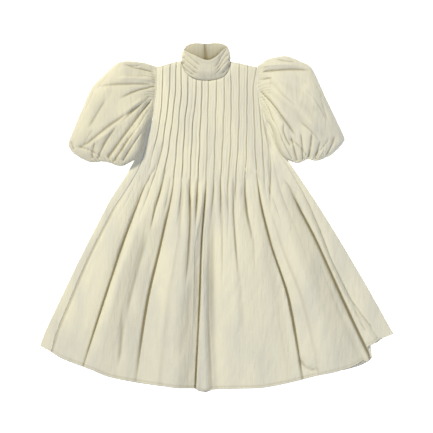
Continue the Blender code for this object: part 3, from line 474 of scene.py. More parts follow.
def line_relief(line, y):
    """Heights of the cloth at a line and of the crown beyond it."""
    levels = (TUCK_VALLEY, TUCK_CROWN) if line.name.startswith("tuck") else (SIDE_LEVEL, SIDE_LEVEL)
    y = np.minimum(y, RELIEF_ROWS[0])
    return [through(list(zip(RELIEF_ROWS, (top, *(height / 1000 for height in rest)))), y)
            for top, rest in zip(levels, (line.valley, line.crown))]


def tuck_ridge(line, off, y):
    """Height of a tuck at a distance off its line: a narrow lip pressed away from the middle, the cloth drawn in
    beside it, and the mark of its folded edge. Below its stitching it opens into a hollow that runs out."""
    if line.name not in TUCK_ENDS:
        return 0.0
    pressed = -off if line.name < MIDDLE_TUCK else off
    below = TUCK_ENDS[line.name] - y
    lip = np.clip(1 + pressed / TUCK_EDGE, 0, 1) * np.clip((TUCK_WIDTH - pressed) / TUCK_EDGE, 0, 1)
    held = 1 - ease((below + 0.006) / 0.03)
    opened = np.clip(below, 0, TUCK_OPEN_LENGTH)
    open_width = 0.0017 + TUCK_OPENS * opened
    groove = TUCK_GROOVE * np.exp(-((pressed + 0.0016) / open_width) ** 2) * (1 - ease(below / TUCK_RUNS_OUT))
    beside = 0.0014 * np.exp(-((pressed - 0.0075 - 0.06 * opened) / 0.004) ** 2)
    mark = TUCK_MARKS.get(line.name, 0) * TUCK_MARK_DEPTH * np.exp(-((off + TUCK_MARK) / TUCK_MARK_WIDTH) ** 2)
    mark = mark * (1 - ease((below + 0.02) / 0.07))
    return (TUCK_HEIGHT * lip * held - groove - mark
            + beside * ease((below + 0.02) / 0.04) * (1 - ease(below / TUCK_RUNS_OUT)))


CREST_ROUNDING, CREST_LIFT = 0.03, 0.015


def main_height(x, y):
    """Height of the skirt from the folds that run on to the hem."""
    named = {line.name: line for line in LINES}
    lines_x = np.stack([line_x(named[fold.line], y) for fold in MAIN_FOLDS])
    before, valley, after, crest = (
        np.stack([through(list(zip(MAIN_ROWS, np.array(getattr(fold, each)) / 1000)),
                          np.clip(y, MAIN_ROWS[-1], MAIN_ROWS[0])) for fold in MAIN_FOLDS])
        for each in ("before", "valley", "after", "crest"))
    k = np.clip((x[None] >= lines_x).sum(0) - 1, 0, len(MAIN_FOLDS) - 2)
    rows = np.arange(len(x))
    left, right = x - lines_x[k, rows], lines_x[k + 1, rows] - x
    part = left / (left + right)
    crest_at = np.array([fold.crest_at for fold in MAIN_FOLDS])[k]
    flank = np.minimum(part / crest_at, (1 - part) / (1 - crest_at))
    level = after[k, rows] + (before[k + 1, rows] - after[k, rows]) * part
    level = level + crest[k, rows] * (1 + CREST_LIFT - np.sqrt((1 - flank) ** 2 + CREST_ROUNDING))
    rises = np.array([fold.rises for fold in MAIN_FOLDS]) / 1000
    dip = (level - valley[k, rows]) * (1 - ease(left / rises[k, 1]))
    dip = dip + (level - valley[k + 1, rows]) * (1 - ease(right / rises[k + 1, 0]))
    return level - dip


def front_column(number, between):
    """Points down one column of the front, between a line and the next."""
    line, following = LINES[number], LINES[number + 1]
    mix = lambda a, b: a * (1 - between) + b * between
    start = FRONT_EDGE.at(mix(LINE_SHARES[number], LINE_SHARES[number + 1]))
    x_start = mix(line_x(line, start[1]), line_x(following, start[1]))
    hem_x = mix(line_x(line, -0.5), line_x(following, -0.5))
    for _ in range(6):
        hem_y = through(FRONT_HEM, np.clip(hem_x, FRONT_HEM[0][0], FRONT_HEM[-1][0]))
        hem_x = mix(line_x(line, hem_y), line_x(following, hem_y))
    y = start[1] + (hem_y - start[1]) * FRONT_ROWS
    at_line, at_next = line_x(line, y), line_x(following, y)
    x = mix(at_line, at_next) + (start[0] - x_start) * (1 - ease((start[1] - y) / TOP_RUN))
    waver = TUCK_WAVER * np.sin(58 * y + 1.4 * (number + between))
    x = x + waver * ease((start[1] - y) / TOP_RUN) * ease((y - 0.05) / 0.1)
    low, crown = line_relief(line, y)
    low = mix(low, line_relief(following, y)[0])
    to_seam = np.minimum(x - line_x(LINES[0], y), line_x(LINES[-1], y) - x)
    low = low + (SIDE_SEAM_Z - low) * (1 - ease(to_seam / SEAM_RISE))
    sharp = mix(*(LINE_SHARPNESS.get(each.name, PLAIN_SHARPNESS) for each in (line, following)))
    small = low + (crown - low) * max(math.sin(math.pi * between), 0) ** sharp
    z = small + (main_height(x, y) - small) * ease((WAIST - y) / SKIRT_OPENS)
    pitch = at_next - at_line
    z = z + tuck_ridge(line, between * pitch, y) + tuck_ridge(following, (between - 1) * pitch, y)
    return np.stack([x, y, z], -1)


spots = [(number, part) for number in range(len(LINES) - 1) for part in STRIP_PARTS]
front_points = np.stack([front_column(*spot) for spot in [*spots, (len(LINES) - 2, 1.0)]], 1)
fx, fy, fz = front_points[..., 0], front_points[..., 1], front_points[..., 2]
in_skirt = ease((WAIST - fy) / 0.1)
fz = fz + fold_height(fx, fy, FRONT_FOLDS)
# Painted shade where the front dips below the cloth around it, in its folds and tuck lines, stronger in the
# skirt.
fold_shade = (0.75 + 0.25 * in_skirt) * hollows(fz, 5, 1, 0.003) ** 1.2
slope = np.gradient(fz, axis=1) / np.maximum(np.gradient(fx, axis=1), 1e-5)
beside = SLOPE_COLUMNS // 2
slope = np.pad(slope, ((0, 0), (beside, beside)), mode="edge")
slope = np.lib.stride_tricks.sliding_window_view(slope, SLOPE_COLUMNS, axis=1).mean(-1)
fold_shade = fold_shade + SLOPE_SHADE * np.clip(-slope, 0, STEEPEST) * in_skirt
fz = fz + rumple(fx, fy, FRONT_RUMPLE, (0.15, 1.0)) * (0.25 + 0.75 * in_skirt)
to_edge = [FRONT_EDGE.nearest(fx[row], fy[row]) for row in range(len(fx))]
edge_far, edge_share = (np.array([pair[k] for pair in to_edge]) for k in (0, 1))
edge_z = edge_height(edge_share)
fz = edge_z + (fz - edge_z) * ease((edge_far - EDGE_LEVEL) / EDGE_RISE)
hem_far = fy - fy[-1:]
fz = fz - 0.0006 * np.exp(-((hem_far - HEM_STITCHING) / 0.0016) ** 2)
seam_far = np.minimum(fx - fx[:, :1], fx[:, -1:] - fx)
seam_z = SIDE_SEAM_Z + 0 * fz
fz = seam_z + (np.maximum(fz, LOWEST_FRONT) - seam_z) * ease(seam_far / 0.01 + 0.05)
front_points[..., 2] = fz
# Painted shade along the hem's stitching and at its edge.
hem_shade = 0.25 * np.exp(-((hem_far - HEM_STITCHING) / 0.0022) ** 2) + 0.45 * np.exp(-(hem_far / 0.0016) ** 2)
front = cloth("front_cloth", front_points, shade=np.clip(fold_shade + hem_shade, 0, 1))
finish_piece(front, "front_panel")

# ---- Backs ------------------------------------------------------------------------------------------------
# Two pieces of the same taffeta that meet in a seam down the middle of the back. Each comes round the side of the
# skirt to the side seam, so that a strip of it shows beside the front. Hemmed like the front.

BACK_LAYER = 0.00075
BACK_TURN = (SIDE_SEAM_Z - BACK_LAYER) / 2
STRIP_LIFT = 0.0012
PLATE_COLUMNS, TURN_COLUMNS, STRIP_COLUMNS = 46, 8, 10
BACK_ROWS = FRONT_ROWS[::2]
SEAM_GAP = 0.0006
CENTRE_BACK_NECK, CENTRE_BACK_HEM_X, CENTRE_BACK_LENGTH = (-0.0375, 0.541), 0.0, 1.14
BACK_FOLDS = (
    Fold(((-300, -20), (-360, -200), (-440, -440)), 1.6, 12, 20),
    Fold(((-120, 100), (-160, -200), (-200, -540)), 1.6, 20, 12),
    Fold(((100, 80), (160, -200), (210, -540)), 1.6, 12, 20),
    Fold(((260, 0), (360, -220), (440, -420)), 1.6, 20, 12),
)


def back_points(outline, shoulder, armhole, strip_hem, side):
    """Points of one back: side is -1 at the picture's left and 1 at its right, from centre back to side seam."""
    neck = [p for p in BACK_NECKLINE if (p[0] - CENTRE_BACK_NECK[0]) * side > 0.005]
    order = slice(None, None, side)
    edge = Edge((CENTRE_BACK_NECK, *neck[order]), shoulder[order], armhole[order])
    shares = np.linspace(0, 1, PLATE_COLUMNS)
    seam_hem, outer_hem = strip_hem[::side]
    seam = front_points[::2, 0 if side < 0 else -1]
    top = armhole[order][-1][1]
    strip_y = top + (outer_hem[1] - top) * BACK_ROWS
    made = []

    def hem_at(x):
        outside = (x - seam_hem[0]) * side > 0
        inside = through(FRONT_HEM, x) + BACK_HEM_SHORTER * ease(np.abs(x - seam_hem[0]) / 0.05)
        return np.where(outside, through(strip_hem, x), inside)

    for i, share in enumerate(shares):
        part = i / (PLATE_COLUMNS - 1)
        start = edge.at(share)

        def x_at(y):
            gone = (CENTRE_BACK_NECK[1] - y) / CENTRE_BACK_LENGTH
            inner = CENTRE_BACK_NECK[0] + (CENTRE_BACK_HEM_X - CENTRE_BACK_NECK[0]) * gone + side * SEAM_GAP / 2
            outer = through(outline, np.minimum(y, UNDERARM_Y)) - side * BACK_TURN
            return inner + (outer - inner) * part

        end_y = hem_at(x_at(outer_hem[1] - 0.08 * (1 - part)))
        y = start[1] + (end_y - start[1]) * BACK_ROWS
        shift = start[0] - x_at(start[1]) + (side * SEAM_GAP / 2 if i == 0 else 0)
        x = x_at(y) + shift * np.maximum(1 - (start[1] - y) / 0.25, 0) ** 2
        room = ease((1 - part) / 0.25) * ease((start[1] - y) / 0.15)
        made.append(np.stack([x, y, BACK_LAYER + np.abs(fold_height(x, y, BACK_FOLDS)) * room], -1))
    for i in range(1, TURN_COLUMNS + 1):
        angle = math.pi * i / TURN_COLUMNS
        x = through(outline, strip_y) - side * BACK_TURN * (1 - math.sin(angle))
        made.append(np.stack([x, strip_y, BACK_LAYER + BACK_TURN * (1 - math.cos(angle)) + 0 * x], -1))
    outer = np.stack([through(outline, strip_y) - side * BACK_TURN, strip_y], -1)
    inner = seam[:, :2] + np.array([side * SEAM_GAP, 0])
    for i in range(1, STRIP_COLUMNS + 1):
        part = i / STRIP_COLUMNS
        x, y = (outer + (inner - outer) * part).T
        if part < 1:
            y = y + (hem_at(x) - y) * ease((BACK_ROWS - 0.9) / 0.1)
        lift = STRIP_LIFT * math.sin(math.pi * part) * ease(BACK_ROWS / 0.3)
        z = SIDE_SEAM_Z + lift + rumple(x, y, 0.0008) * math.sin(math.pi * part)
        made.append(np.stack([x, y, z], -1))
    return np.stack(made, 1)


back_left = cloth("back_left_cloth", back_points(LEFT_OUTLINE, LEFT_SHOULDER, LEFT_ARMHOLE, LEFT_STRIP_HEM, -1))
finish_piece(back_left, "back_left")
back_right = cloth("back_right_cloth",
                   back_points(RIGHT_OUTLINE, RIGHT_SHOULDER, RIGHT_ARMHOLE, RIGHT_STRIP_HEM, 1))
finish_piece(back_right, "back_right")

# ---- Sleeves ----------------------------------------------------------------------------------------------
# Each is one piece of taffeta sewn into a tube, gathered into the armhole above and into a narrow cuff below,
# so that it puffs out between the two. Pressed flat, it breaks into crisp folds that run from seam to cuff.

LEFT_SLEEVE_OUTER = metres(
    (-213, 528.4), (-259, 542), (-322, 546), (-356, 533), (-400, 492), (-437, 452), (-468, 383), (-487, 339),
    (-506, 292), (-518, 261), (-515, 242), (-500, 223), (-478, 208),
)
LEFT_SLEEVE_LOWER = metres(
    (-478, 208), (-450, 195), (-425, 191), (-400, 194), (-369, 188), (-350, 181), (-331, 178), (-312, 185),
    (-293, 198),
)
LEFT_SLEEVE_INNER = metres(
    (-228.5, 340.5), (-236, 332), (-242.5, 320), (-251, 292), (-256, 261), (-265, 229), (-279, 208),
    (-293, 198),
)
RIGHT_SLEEVE_OUTER = metres(
    (142, 528.4), (156, 539), (178, 553), (209, 561), (240, 564), (265, 558), (296, 544), (328, 527),
    (350, 486), (378, 423), (415, 345), (445, 280), (443, 262), (431, 246), (415, 230), (396, 214),
)
RIGHT_SLEEVE_LOWER = metres(
    (396, 214), (378, 207), (356, 198), (340, 197), (318, 202), (303, 196), (286, 189), (270, 190), (254, 197),
)
RIGHT_SLEEVE_INNER = metres(
    (171.5, 338.5), (180, 331), (188.8, 319), (199, 293), (211, 252), (224.5, 222), (237, 207.5), (254, 197),
)
# Down the sleeve: share, height of the upper side, height of the edges, share of the width that rounds off.
SLEEVE_SECTIONS = (
    (0.0, 0.005, 0.0029, 0.014), (0.006, 0.005, 0.0029, 0.014), (0.05, 0.012, 0.004, 0.05),
    (0.14, 0.025, 0.0075, 0.1), (0.3, 0.039, 0.012, 0.15), (0.5, 0.047, 0.015, 0.18),
    (0.7, 0.047, 0.016, 0.17), (0.86, 0.041, 0.016, 0.15), (1.0, 0.029, 0.015, 0.14),
)
SLEEVE_ROWS = np.concatenate([(0, 0.003), np.linspace(0.006, 0.12, 20)[:-1], np.linspace(0.12, 0.86, 74)[:-1],
                              np.linspace(0.86, 1.0, 20)])
UPPER_COLUMNS, UNDER_COLUMNS = 128, 40
SLEEVE_GAP, SLEEVE_LAYER = 0.0006, 0.00075
UNDER_SHORTER, UNDER_TURN = 0.045, 0.0013
HEAD_GATHERS, MOUTH_GATHERS, SLEEVE_RUMPLE = 0.0015, 0.0014, 0.0014
CUFF_HALF_WIDTH, CUFF_LOW_Z, CUFF_TOP_Z, CUFF_DEPTH, CUFF_ROUNDING = 0.05, 0.0036, 0.015, 0.012, 0.06
TURN_IN = (0.15, 0.3, 0.5, 0.7, 0.85, 1.0)
LEFT_CUFF = ((-0.366, 0.211), math.radians(-4))
RIGHT_CUFF = ((0.32, 0.2195), math.radians(7))
LEFT_SLEEVE_FOLDS = (
    Fold(((-215, 508), (-276, 519), (-321, 530)), -5.1, 2.8, 5, 0.05, 0.5),
    Fold(((-258, 535), (-288, 527), (-332, 533)), -3.1, 3.3, 3.3),
    Fold(((-221, 466), (-293, 464), (-361, 461), (-438, 451)), -3.4, 5.5, 4.4, 0.1, 0.4),
    Fold(((-212, 460), (-281, 439), (-344, 408)), -5.1, 2.8, 4.4, 0.05, 0.4),
    Fold(((-216, 482), (-290, 484), (-370, 482)), 4, 12, 8, 0.1, 0.4),
    Fold(((-248, 400), (-318, 354), (-381, 312), (-448, 258), (-493, 238)), -5.1, 6.6, 6.6, 0.2, 0.2),
    Fold(((-240, 425), (-300, 375), (-352, 310), (-455, 240)), 5, 12, 18, 0.15, 0.2),
    Fold(((-222, 420), (-294, 319), (-335, 265), (-381, 202)), -6.8, 4.4, 6.6, 0.1, 0.04),
    Fold(((-271, 319), (-314, 259), (-361, 190)), -5.1, 4.4, 3.3, 0.3, 0.05),
    Fold(((-248, 312), (-288, 255), (-328, 192)), -5.1, 3.3, 4.4, 0.3, 0.05),
    Fold(((-260, 330), (-302, 262), (-346, 196)), 4, 6, 8, 0.3, 0.1),
    Fold(((-512, 272), (-495, 228)), -5.1, 8.8, 5.5),
    Fold(((-342, 536), (-297, 543), (-240, 536)), 4, 8, 8),
    Fold(((-400, 470), (-440, 400), (-470, 330)), 3.6, 18, 12),
    Fold(((-380, 420), (-415, 360), (-452, 300)), -3.1, 8.8, 5.5),
    Fold(((-335, 330), (-385, 262), (-415, 200)), -4.3, 3.3, 5, 0.3, 0.05),
    Fold(((-420, 270), (-430, 230), (-434, 200)), -3.4, 3.3, 3.9, 0.3, 0.1),
    Fold(((-227, 428), (-311, 347), (-391, 270)), -2.4, 2.4, 6, 0.1, 0.5),
    Fold(((-230, 407), (-293, 330), (-353, 249)), -2.2, 2.4, 6, 0.1, 0.5),
    Fold(((-234, 382), (-276, 305), (-311, 228)), -2.4, 2.4, 6, 0.1, 0.4),
    Fold(((-409, 480), (-437, 417), (-465, 347)), -1.8, 2.4, 7, 0.3, 0.4),
    Fold(((-367, 508), (-416, 445), (-451, 382)), -1.6, 2.4, 7, 0.3, 0.4),
    Fold(((-269, 340), (-311, 270), (-339, 200)), -2.2, 2.4, 5, 0.2, 0.1),
    Fold(((-423, 312), (-451, 270), (-472, 235)), -1.8, 2.4, 6),
    Fold(((-493, 249), (-444, 235), (-395, 207)), -2.4, 3, 5, 0.2, 0.3),
)
RIGHT_SLEEVE_FOLDS = (
    Fold(((150, 508), (192, 512), (239, 514), (284, 514), (333, 512)), -5.9, 2.8, 5.5, 0.15, 0.2),
    Fold(((150, 528), (200, 530), (250, 531), (310, 524)), 5, 10, 8, 0.15, 0.3),
    Fold(((176, 500), (204, 473), (248, 420), (291, 375), (330, 328), (368, 277)), 6, 30, 11, 0.15, 0.2),
    Fold(((148, 480), (176, 486), (198, 486)), -3.6, 3, 4, 0.08, 0.4),
    Fold(((176, 463), (226, 413), (276, 373), (319, 326), (360, 285)), 5, 14, 14, 0.2, 0.3),
    Fold(((144, 452), (196, 393), (236, 336), (260, 302), (276, 279)), -6.8, 6, 3.9, 0.08, 0.2),
    Fold(((236, 330), (231, 302), (242, 269), (260, 242)), -5.1, 3.3, 3.3, 0.2, 0.2),
    Fold(((356, 459), (368, 393), (389, 319)), -4.3, 7.7, 9.9),
    Fold(((170, 440), (215, 375), (255, 320)), 4, 8, 6),
    Fold(((255, 290), (268, 240), (280, 194)), -5.1, 2.8, 3.9, 0.3, 0.05),
    Fold(((290, 300), (296, 250), (300, 198)), -4.3, 3.3, 2.8, 0.3, 0.05),
    Fold(((330, 300), (326, 250), (320, 205)), -5.1, 3.9, 3.3, 0.3, 0.05),
    Fold(((360, 270), (352, 236), (342, 200)), -4.3, 3.3, 3.3, 0.3, 0.05),
    Fold(((215, 300), (235, 250), (262, 200)), -3.8, 3.3, 3.3, 0.3, 0.05),
    Fold(((410, 290), (400, 250), (382, 215)), -4.3, 4.4, 4.4, 0.3, 0.1),
    Fold(((200, 555), (235, 545), (280, 540)), -2.6, 3.9, 3.9),
    Fold(((155, 430), (185, 370), (205, 310)), -3.8, 3.3, 3.3, 0.1, 0.3),
    Fold(((300, 470), (330, 420), (350, 370)), 4, 16, 12),
    Fold(((158, 424), (221, 347), (263, 270)), -2.4, 5, 2.4, 0.1, 0.4),
    Fold(((158, 396), (204, 326), (232, 249)), -2.4, 5, 2.4, 0.1, 0.3),
    Fold(((291, 466), (347, 396), (389, 319)), -1.8, 6, 2.4, 0.3, 0.4),
    Fold(((326, 487), (368, 417), (403, 340)), -1.6, 6, 2.4, 0.3, 0.4),
    Fold(((396, 284), (368, 242), (333, 207)), -2.4, 3, 4, 0.3, 0.2),
    Fold(((277, 340), (326, 298), (368, 249)), -1.8, 5, 2.4),
    Fold(((242, 277), (284, 249), (319, 207)), -3, 3, 3, 0.2, 0.2),
)


def ring(columns, upper, under):
    """Share across and 1 over or -1 under, for each point round a flattened tube."""
    i = np.arange(columns)
    over = i <= upper
    across = np.where(over, (1 - np.cos(np.pi * i / upper)) / 2, (1 + np.cos(np.pi * (i - upper) / under)) / 2)
    return across, np.where(over, 1, -1)


def bulge(across, rounding):
    """Share of the full height: round near the edges for a share of the width, level between."""
    gone = np.clip(np.minimum(across, 1 - across) / rounding, 0, 1)
    return np.sqrt(np.maximum(1 - (1 - gone) ** 2, 0))


def cuff_ring(centre, tilt, across, over, out, side=1):
    """Points of the flat ring where a sleeve meets its cuff, and out along the cuff from there."""
    along = side * (1 - 2 * across) * CUFF_HALF_WIDTH
    middle = (CUFF_LOW_Z + CUFF_TOP_Z) / 2
    x = centre[0] + along * math.cos(tilt) - out * math.sin(tilt)
    y = centre[1] + along * math.sin(tilt) + out * math.cos(tilt)
    return np.stack([x, y, middle + over * (CUFF_TOP_Z - middle) * bulge(across, CUFF_ROUNDING)], -1)


def gathers(across, count, uneven):
    """Uneven small pleats across a gathered edge, from -1 to 1."""
    run = across * count + 0.35 * np.sin(across * uneven) + 0.2 * np.sin(across * uneven * 2.7 + 1)
    return np.sin(2 * np.pi * run) * (0.7 + 0.3 * np.sin(across * 23 + uneven))


def sleeve_points(armhole, outer, lower, inner, cuff, folds, side):
    """Points of one puff: side is -1 at the picture's left and 1 at its right."""
    head = Edge(armhole[::side])
    outer, lower, inner = Edge(outer), Edge(lower), Edge(inner)
    across, over = ring(UPPER_COLUMNS + UNDER_COLUMNS + 1, UPPER_COLUMNS, UNDER_COLUMNS)
    before, after = head.at(np.maximum(across - 0.01, 0)), head.at(np.minimum(across + 0.01, 1))
    run = (after - before) / np.linalg.norm(after - before, axis=1)[:, None]
    beside = head.at(across) - np.stack([run[:, 1], -run[:, 0]], -1) * side * SLEEVE_GAP
    straight = np.where(across[:, None] < 0.5, outer.at(0.0), inner.at(0.0))
    head_line = beside + (straight - beside) * (1 - ease(np.minimum(across, 1 - across) / 0.08))[:, None]
    first, last = outer.at(0.0), inner.at(0.0)

    def plan(share):
        a, s = across[:, None], np.broadcast_to(np.asarray(share, float), across.shape)
        one = s[:, None]
        corners = ((1 - a) * (1 - one) * first + a * (1 - one) * last
                   + (1 - a) * one * lower.at(0.0) + a * one * lower.at(1.0))
        return (1 - one) * head_line + one * lower.at(across) + (1 - a) * outer.at(s) + a * inner.at(s) - corners

    def skin(share):
        top, edge, rounding = (
            float(through([(row[0], row[k]) for row in SLEEVE_SECTIONS], share)) for k in (1, 2, 3))
        shape = bulge(across, rounding)
        upper, under = plan(share), plan(share * (1 - UNDER_SHORTER * share**3 * shape))
        middle = np.sin(np.pi * across)
        small = (HEAD_GATHERS * gathers(across, 21, 9.0) * ease(share / 0.03) * (1 - ease((share - 0.03) / 0.14))
                 + MOUTH_GATHERS * gathers(across, 19, 6.0) * ease((share - 0.78) / 0.18))
        x, y = upper.T
        laid = fold_height(x, y, folds) * ease(share / 0.04) + rumple(x, y, SLEEVE_RUMPLE, (0.6 * side, -0.8))
        z = edge + (top - edge) * shape + (small * middle + laid * ease(share / 0.06)) * shape**2
        z = np.where(over > 0, z, edge - (edge - SLEEVE_LAYER) * shape)
        return np.column_stack([np.where((over > 0)[:, None], upper, under), z])

    made = [skin(share) for share in SLEEVE_ROWS]
    start, end = made[-1], cuff_ring(*cuff, across, over, 0, side)
    level = bulge(across, SLEEVE_SECTIONS[-1][3]) ** 2
    for gone in TURN_IN:
        above = start + (end - start) * gone
        above[:, 2] = end[:, 2] + (start[:, 2] - end[:, 2]) * (1 - gone) ** 1.5
        held = max(gone - 0.3, 0) / 0.7
        below = start + (end - start) * (gone + (held - gone) * level)[:, None]
        below[:, 1] -= UNDER_TURN * max(1 - abs(gone - 0.3) / 0.3, 0) * level
        below[:, 2] = start[:, 2] + (end[:, 2] - start[:, 2]) * min(gone / 0.6, 1)
        made.append(np.where((over > 0)[:, None], above, below))
    return np.stack(made)


def sleeve_cloth(name, points, even_painted_shade):
    """A sleeve from its points, with painted shade in the folds of its upper side. The last argument is painted
    shade laid evenly over all of its upper side.
    """
    upper = np.arange(points.shape[1]) <= UPPER_COLUMNS
    return cloth(name, points, True, (even_painted_shade + 0.65 * hollows(points[..., 2], 3, 2, 0.0022)) * upper)


# Painted shade over each sleeve's upper side, more on the left one, which faces the key light.
left_puff = sleeve_points(LEFT_ARMHOLE, LEFT_SLEEVE_OUTER, LEFT_SLEEVE_LOWER, LEFT_SLEEVE_INNER, LEFT_CUFF,
                          LEFT_SLEEVE_FOLDS, -1)
sleeve_left = sleeve_cloth("sleeve_left_cloth", left_puff, even_painted_shade=0.13)
finish_piece(sleeve_left, "sleeve_left")
right_puff = sleeve_points(RIGHT_ARMHOLE, RIGHT_SLEEVE_OUTER, RIGHT_SLEEVE_LOWER, RIGHT_SLEEVE_INNER, RIGHT_CUFF,
                           RIGHT_SLEEVE_FOLDS, 1)
sleeve_right = sleeve_cloth("sleeve_right_cloth", right_puff, even_painted_shade=0.04)
finish_piece(sleeve_right, "sleeve_right")

# ---- Cuffs ------------------------------------------------------------------------------------------------
# A narrow doubled band of the same taffeta that each sleeve is gathered into. Sewn on and turned up inside.

CUFF_UPPER, CUFF_UNDER, CUFF_ROWS = 48, 32, 7
cuff_across, cuff_over = ring(CUFF_UPPER + CUFF_UNDER + 1, CUFF_UPPER, CUFF_UNDER)
cuff_rows = np.linspace(SLEEVE_LAYER + SEAM_GAP, SLEEVE_LAYER + SEAM_GAP + CUFF_DEPTH, CUFF_ROWS)
for side_name, cuff in (("left", LEFT_CUFF), ("right", RIGHT_CUFF)):
    band_points = np.stack([cuff_ring(*cuff, cuff_across, cuff_over, out) for out in cuff_rows])
    band = cloth(f"cuff_{side_name}_cloth", band_points, True)
    finish_piece(band, f"cuff_{side_name}")

# ---- Collar -----------------------------------------------------------------------------------------------
# One strip of taffeta sewn round the neck and open at the centre back. It stands high and is laid in soft
# slanting pleats that meet low at the front.

COLLAR_TOP_FRONT = metres(
    (-116, 586), (-96, 574), (-62, 558.5), (-40, 549.5), (-22, 550), (2, 564), (22, 584), (38.5, 596),
)
COLLAR_TOP_BACK = metres(
    (-116, 586), (-108, 600), (-92, 609), (-66, 611.5), (-38, 609), (-10, 611.5), (15, 610), (30, 604),
    (38.5, 596),
)
COLLAR_SIDE_SWELL = 0.004
# From neckline to top: share, height of the front, height of the sides.
COLLAR_SECTIONS = ((0.0, 0.0062, 0.003), (0.12, 0.012, 0.0045), (0.45, 0.0215, 0.0085), (1.0, 0.0225, 0.0105))
COLLAR_ROWS = np.linspace(0, 1, 56)
COLLAR_FRONT_COLUMNS, COLLAR_BACK_COLUMNS = 110, 30
COLLAR_ROUNDING = 0.16
NECK_CENTRE = np.array([-0.038, 0.548])
COLLAR_INSET, COLLAR_LAP = 0.0015, 0.0012
COLLAR_FOLDS = (
    Fold(((36, 589), (18, 561), (1, 533), (-16, 516)), -3, 3.4, 7, 0.08, 0.35),
    Fold(((42, 571), (22, 547), (4, 522), (-10, 506)), -3.2, 3.4, 7, 0.08, 0.35),
    Fold(((46, 554), (25, 533), (4, 510), (-12, 496)), -3.2, 3.4, 7, 0.08, 0.35),
    Fold(((46, 533), (32, 514), (14, 497)), -2.8, 3.4, 6, 0.08, 0.35),
    Fold(((-114, 580), (-94, 560), (-70, 540), (-48, 524)), -3, 7, 3.4, 0.08, 0.35),
    Fold(((-120, 562), (-98, 542), (-74, 522), (-52, 508)), -3.2, 7, 3.4, 0.08, 0.35),
    Fold(((-122, 544), (-100, 524), (-76, 506), (-56, 496)), -3.2, 7, 3.4, 0.08, 0.35),
    Fold(((-118, 524), (-98, 508), (-74, 494)), -2.8, 6, 3.4, 0.08, 0.35),
    Fold(((-110, 582), (-62, 552), (-40, 544), (-22, 545), (2, 558), (34, 590)), 1.2, 4, 4, 0.1, 0.1),
)


def collar_points():
    """Points of the collar, from the centre back round the front to the centre back again."""
    base_front, base_back = Edge(NECKLINE), Edge(BACK_NECKLINE)
    top_front, top_back = Edge(COLLAR_TOP_FRONT), Edge(COLLAR_TOP_BACK)

    def inset(points):
        to_centre = NECK_CENTRE - points
        return points + to_centre * COLLAR_INSET / np.linalg.norm(to_centre, axis=-1, keepdims=True)

    def plan(across, front, share):
        base, top = (base_front, top_front) if front else (base_back, top_back)
        low = inset(base.at(across)) if front else base.at(across) + np.array([0, SEAM_GAP * 2.5])
        corner = inset(base_front.at(np.round(across))) + np.array([0, COLLAR_INSET])
        inward = (np.minimum(across, 1 - across) / 0.08)[:, None]
        low = low + (corner + (low - corner) * inward - low) * (1 - ease(inward))
        swell = COLLAR_SIDE_SWELL * math.sin(math.pi * share) * (2 * across - 1)
        return low + (top.at(across) - low) * share + np.stack([swell, 0 * swell], -1)

    made = []
    for share in COLLAR_ROWS:
        top, side = (float(through([(row[0], row[k]) for row in COLLAR_SECTIONS], share)) for k in (1, 2))
        across = (1 - np.cos(np.pi * np.arange(COLLAR_FRONT_COLUMNS + 1) / COLLAR_FRONT_COLUMNS)) / 2
        x, y = plan(across, True, share).T
        shape = bulge(across, COLLAR_ROUNDING)
        laid = fold_height(x, y, COLLAR_FOLDS) * ease(share / 0.06) + rumple(x, y, 0.0006)
        front_part = np.stack([x, y, side + (top - side) * shape + laid * shape**0.5 * ease(share / 0.05)], -1)
        halves = []
        for left in (True, False):
            part = np.arange(COLLAR_BACK_COLUMNS) / COLLAR_BACK_COLUMNS
            behind = (1 - np.cos(np.pi / 2 * (1 - part))) / 2
            x, y = plan(behind if left else 1 - behind, False, share).T
            x = x + np.where(part == 0, COLLAR_LAP if left else -COLLAR_LAP, 0)
            z = side - (side - BACK_LAYER) * bulge(behind, COLLAR_ROUNDING)
            z = z + np.where(part < 0.1, -0.0003 if left else 0.0006, 0)
            back_part = np.stack([x, y, z], -1)
            halves.append(back_part if left else back_part[::-1])
        made.append(np.concatenate([halves[0], front_part, halves[1]]))
    return np.stack(made)


collar_laid = collar_points()
# Painted shade over the collar: a little over all of it and more in its folds. Inside its back it darkens towards
# the neckline, with a dark painted line at the centre back.
collar_shade = 0.14 + 0.7 * hollows(collar_laid[..., 2], 3, 2, 0.0012)
collar_columns = np.arange(collar_laid.shape[1])
inside = (collar_columns < COLLAR_BACK_COLUMNS) | (collar_columns > COLLAR_BACK_COLUMNS + COLLAR_FRONT_COLUMNS)
centre_back = np.minimum(collar_columns, collar_columns[-1] - collar_columns)
painted_deep_shade = 0.3 + 0.55 * (1 - COLLAR_ROWS[:, None]) + 0.5 * np.exp(-(centre_back / 1.2) ** 2)
collar_shade = np.where(inside, np.clip(painted_deep_shade, 0, 1), collar_shade)
collar = cloth("collar_cloth", collar_laid, shade=collar_shade)
finish_piece(collar, "collar")

# ---- Floor, light and camera ------------------------------------------------------------------------------
# A plain white floor under the dress, broad soft light from above, and the camera straight over it.

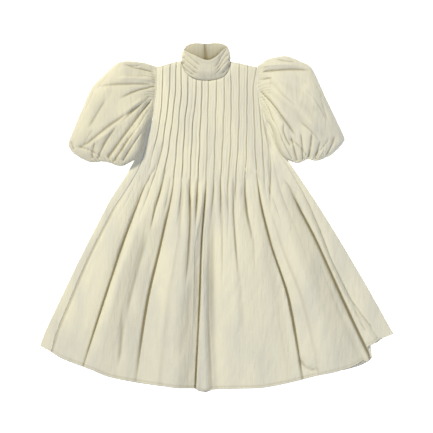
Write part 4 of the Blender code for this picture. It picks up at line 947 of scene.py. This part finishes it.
FLOOR_COLOUR = "#FBFBFA"
CAMERA_HEIGHT, VIEW_WIDTH, GARMENT_LEVEL = 3.51, 1.5155, 0.01
floor_bm = bmesh.new()
bmesh.ops.create_grid(floor_bm, x_segments=1, y_segments=1, size=4.0)
bmesh.ops.translate(floor_bm, verts=floor_bm.verts, vec=(0, 0, -0.0006))
floor_mesh = bpy.data.meshes.new("floor")
floor_bm.to_mesh(floor_mesh)
floor_bm.free()
floor = bpy.data.objects.new("floor", floor_mesh)
bpy.context.scene.collection.objects.link(floor)
paper = bpy.data.materials.new("white_paper")
paper.use_nodes = True
for socket, value in (("Base Color", linear(FLOOR_COLOUR)), ("Roughness", 0.9), ("Specular IOR Level", 0.0),
                      ("Emission Color", linear("#FFFFFF")), ("Emission Strength", 0.8)):
    paper.node_tree.nodes["Principled BSDF"].inputs[socket].default_value = value
floor_mesh.materials.append(paper)

world = bpy.data.worlds.new("studio")
bpy.context.scene.world = world
world.use_nodes = True
world.node_tree.nodes["Background"].inputs["Color"].default_value = linear("#EEF2FF")
world.node_tree.nodes["Background"].inputs["Strength"].default_value = 0.16
for light_name, where, size, power, tone in (
        ("key", (-2.8, 3.2, 4.2), 0.7, 270.0, "#FFF7E0"), ("fill", (1.4, -1.4, 4.8), 1.8, 108.0, "#ECF0FF")):
    lamp = bpy.data.lights.new(light_name, "AREA")
    lamp.shape = "SQUARE"
    lamp.size = size
    lamp.energy = power
    lamp.color = linear(tone)[:3]
    lamp_object = bpy.data.objects.new(light_name, lamp)
    bpy.context.scene.collection.objects.link(lamp_object)
    lamp_object.location = where
    lamp_object.rotation_mode = "QUATERNION"
    lamp_object.rotation_quaternion = (Vector((0, 0, 0)) - Vector(where)).to_track_quat("-Z", "Y")
lens = bpy.data.cameras.new("camera")
lens.sensor_width = 36.0
lens.lens = 36.0 * (CAMERA_HEIGHT - GARMENT_LEVEL) / VIEW_WIDTH
camera = bpy.data.objects.new("camera", lens)
bpy.context.scene.collection.objects.link(camera)
camera.location = (-0.0009, 0.0026, CAMERA_HEIGHT)
bpy.context.scene.camera = camera
bpy.context.scene.view_settings.view_transform = "Standard"
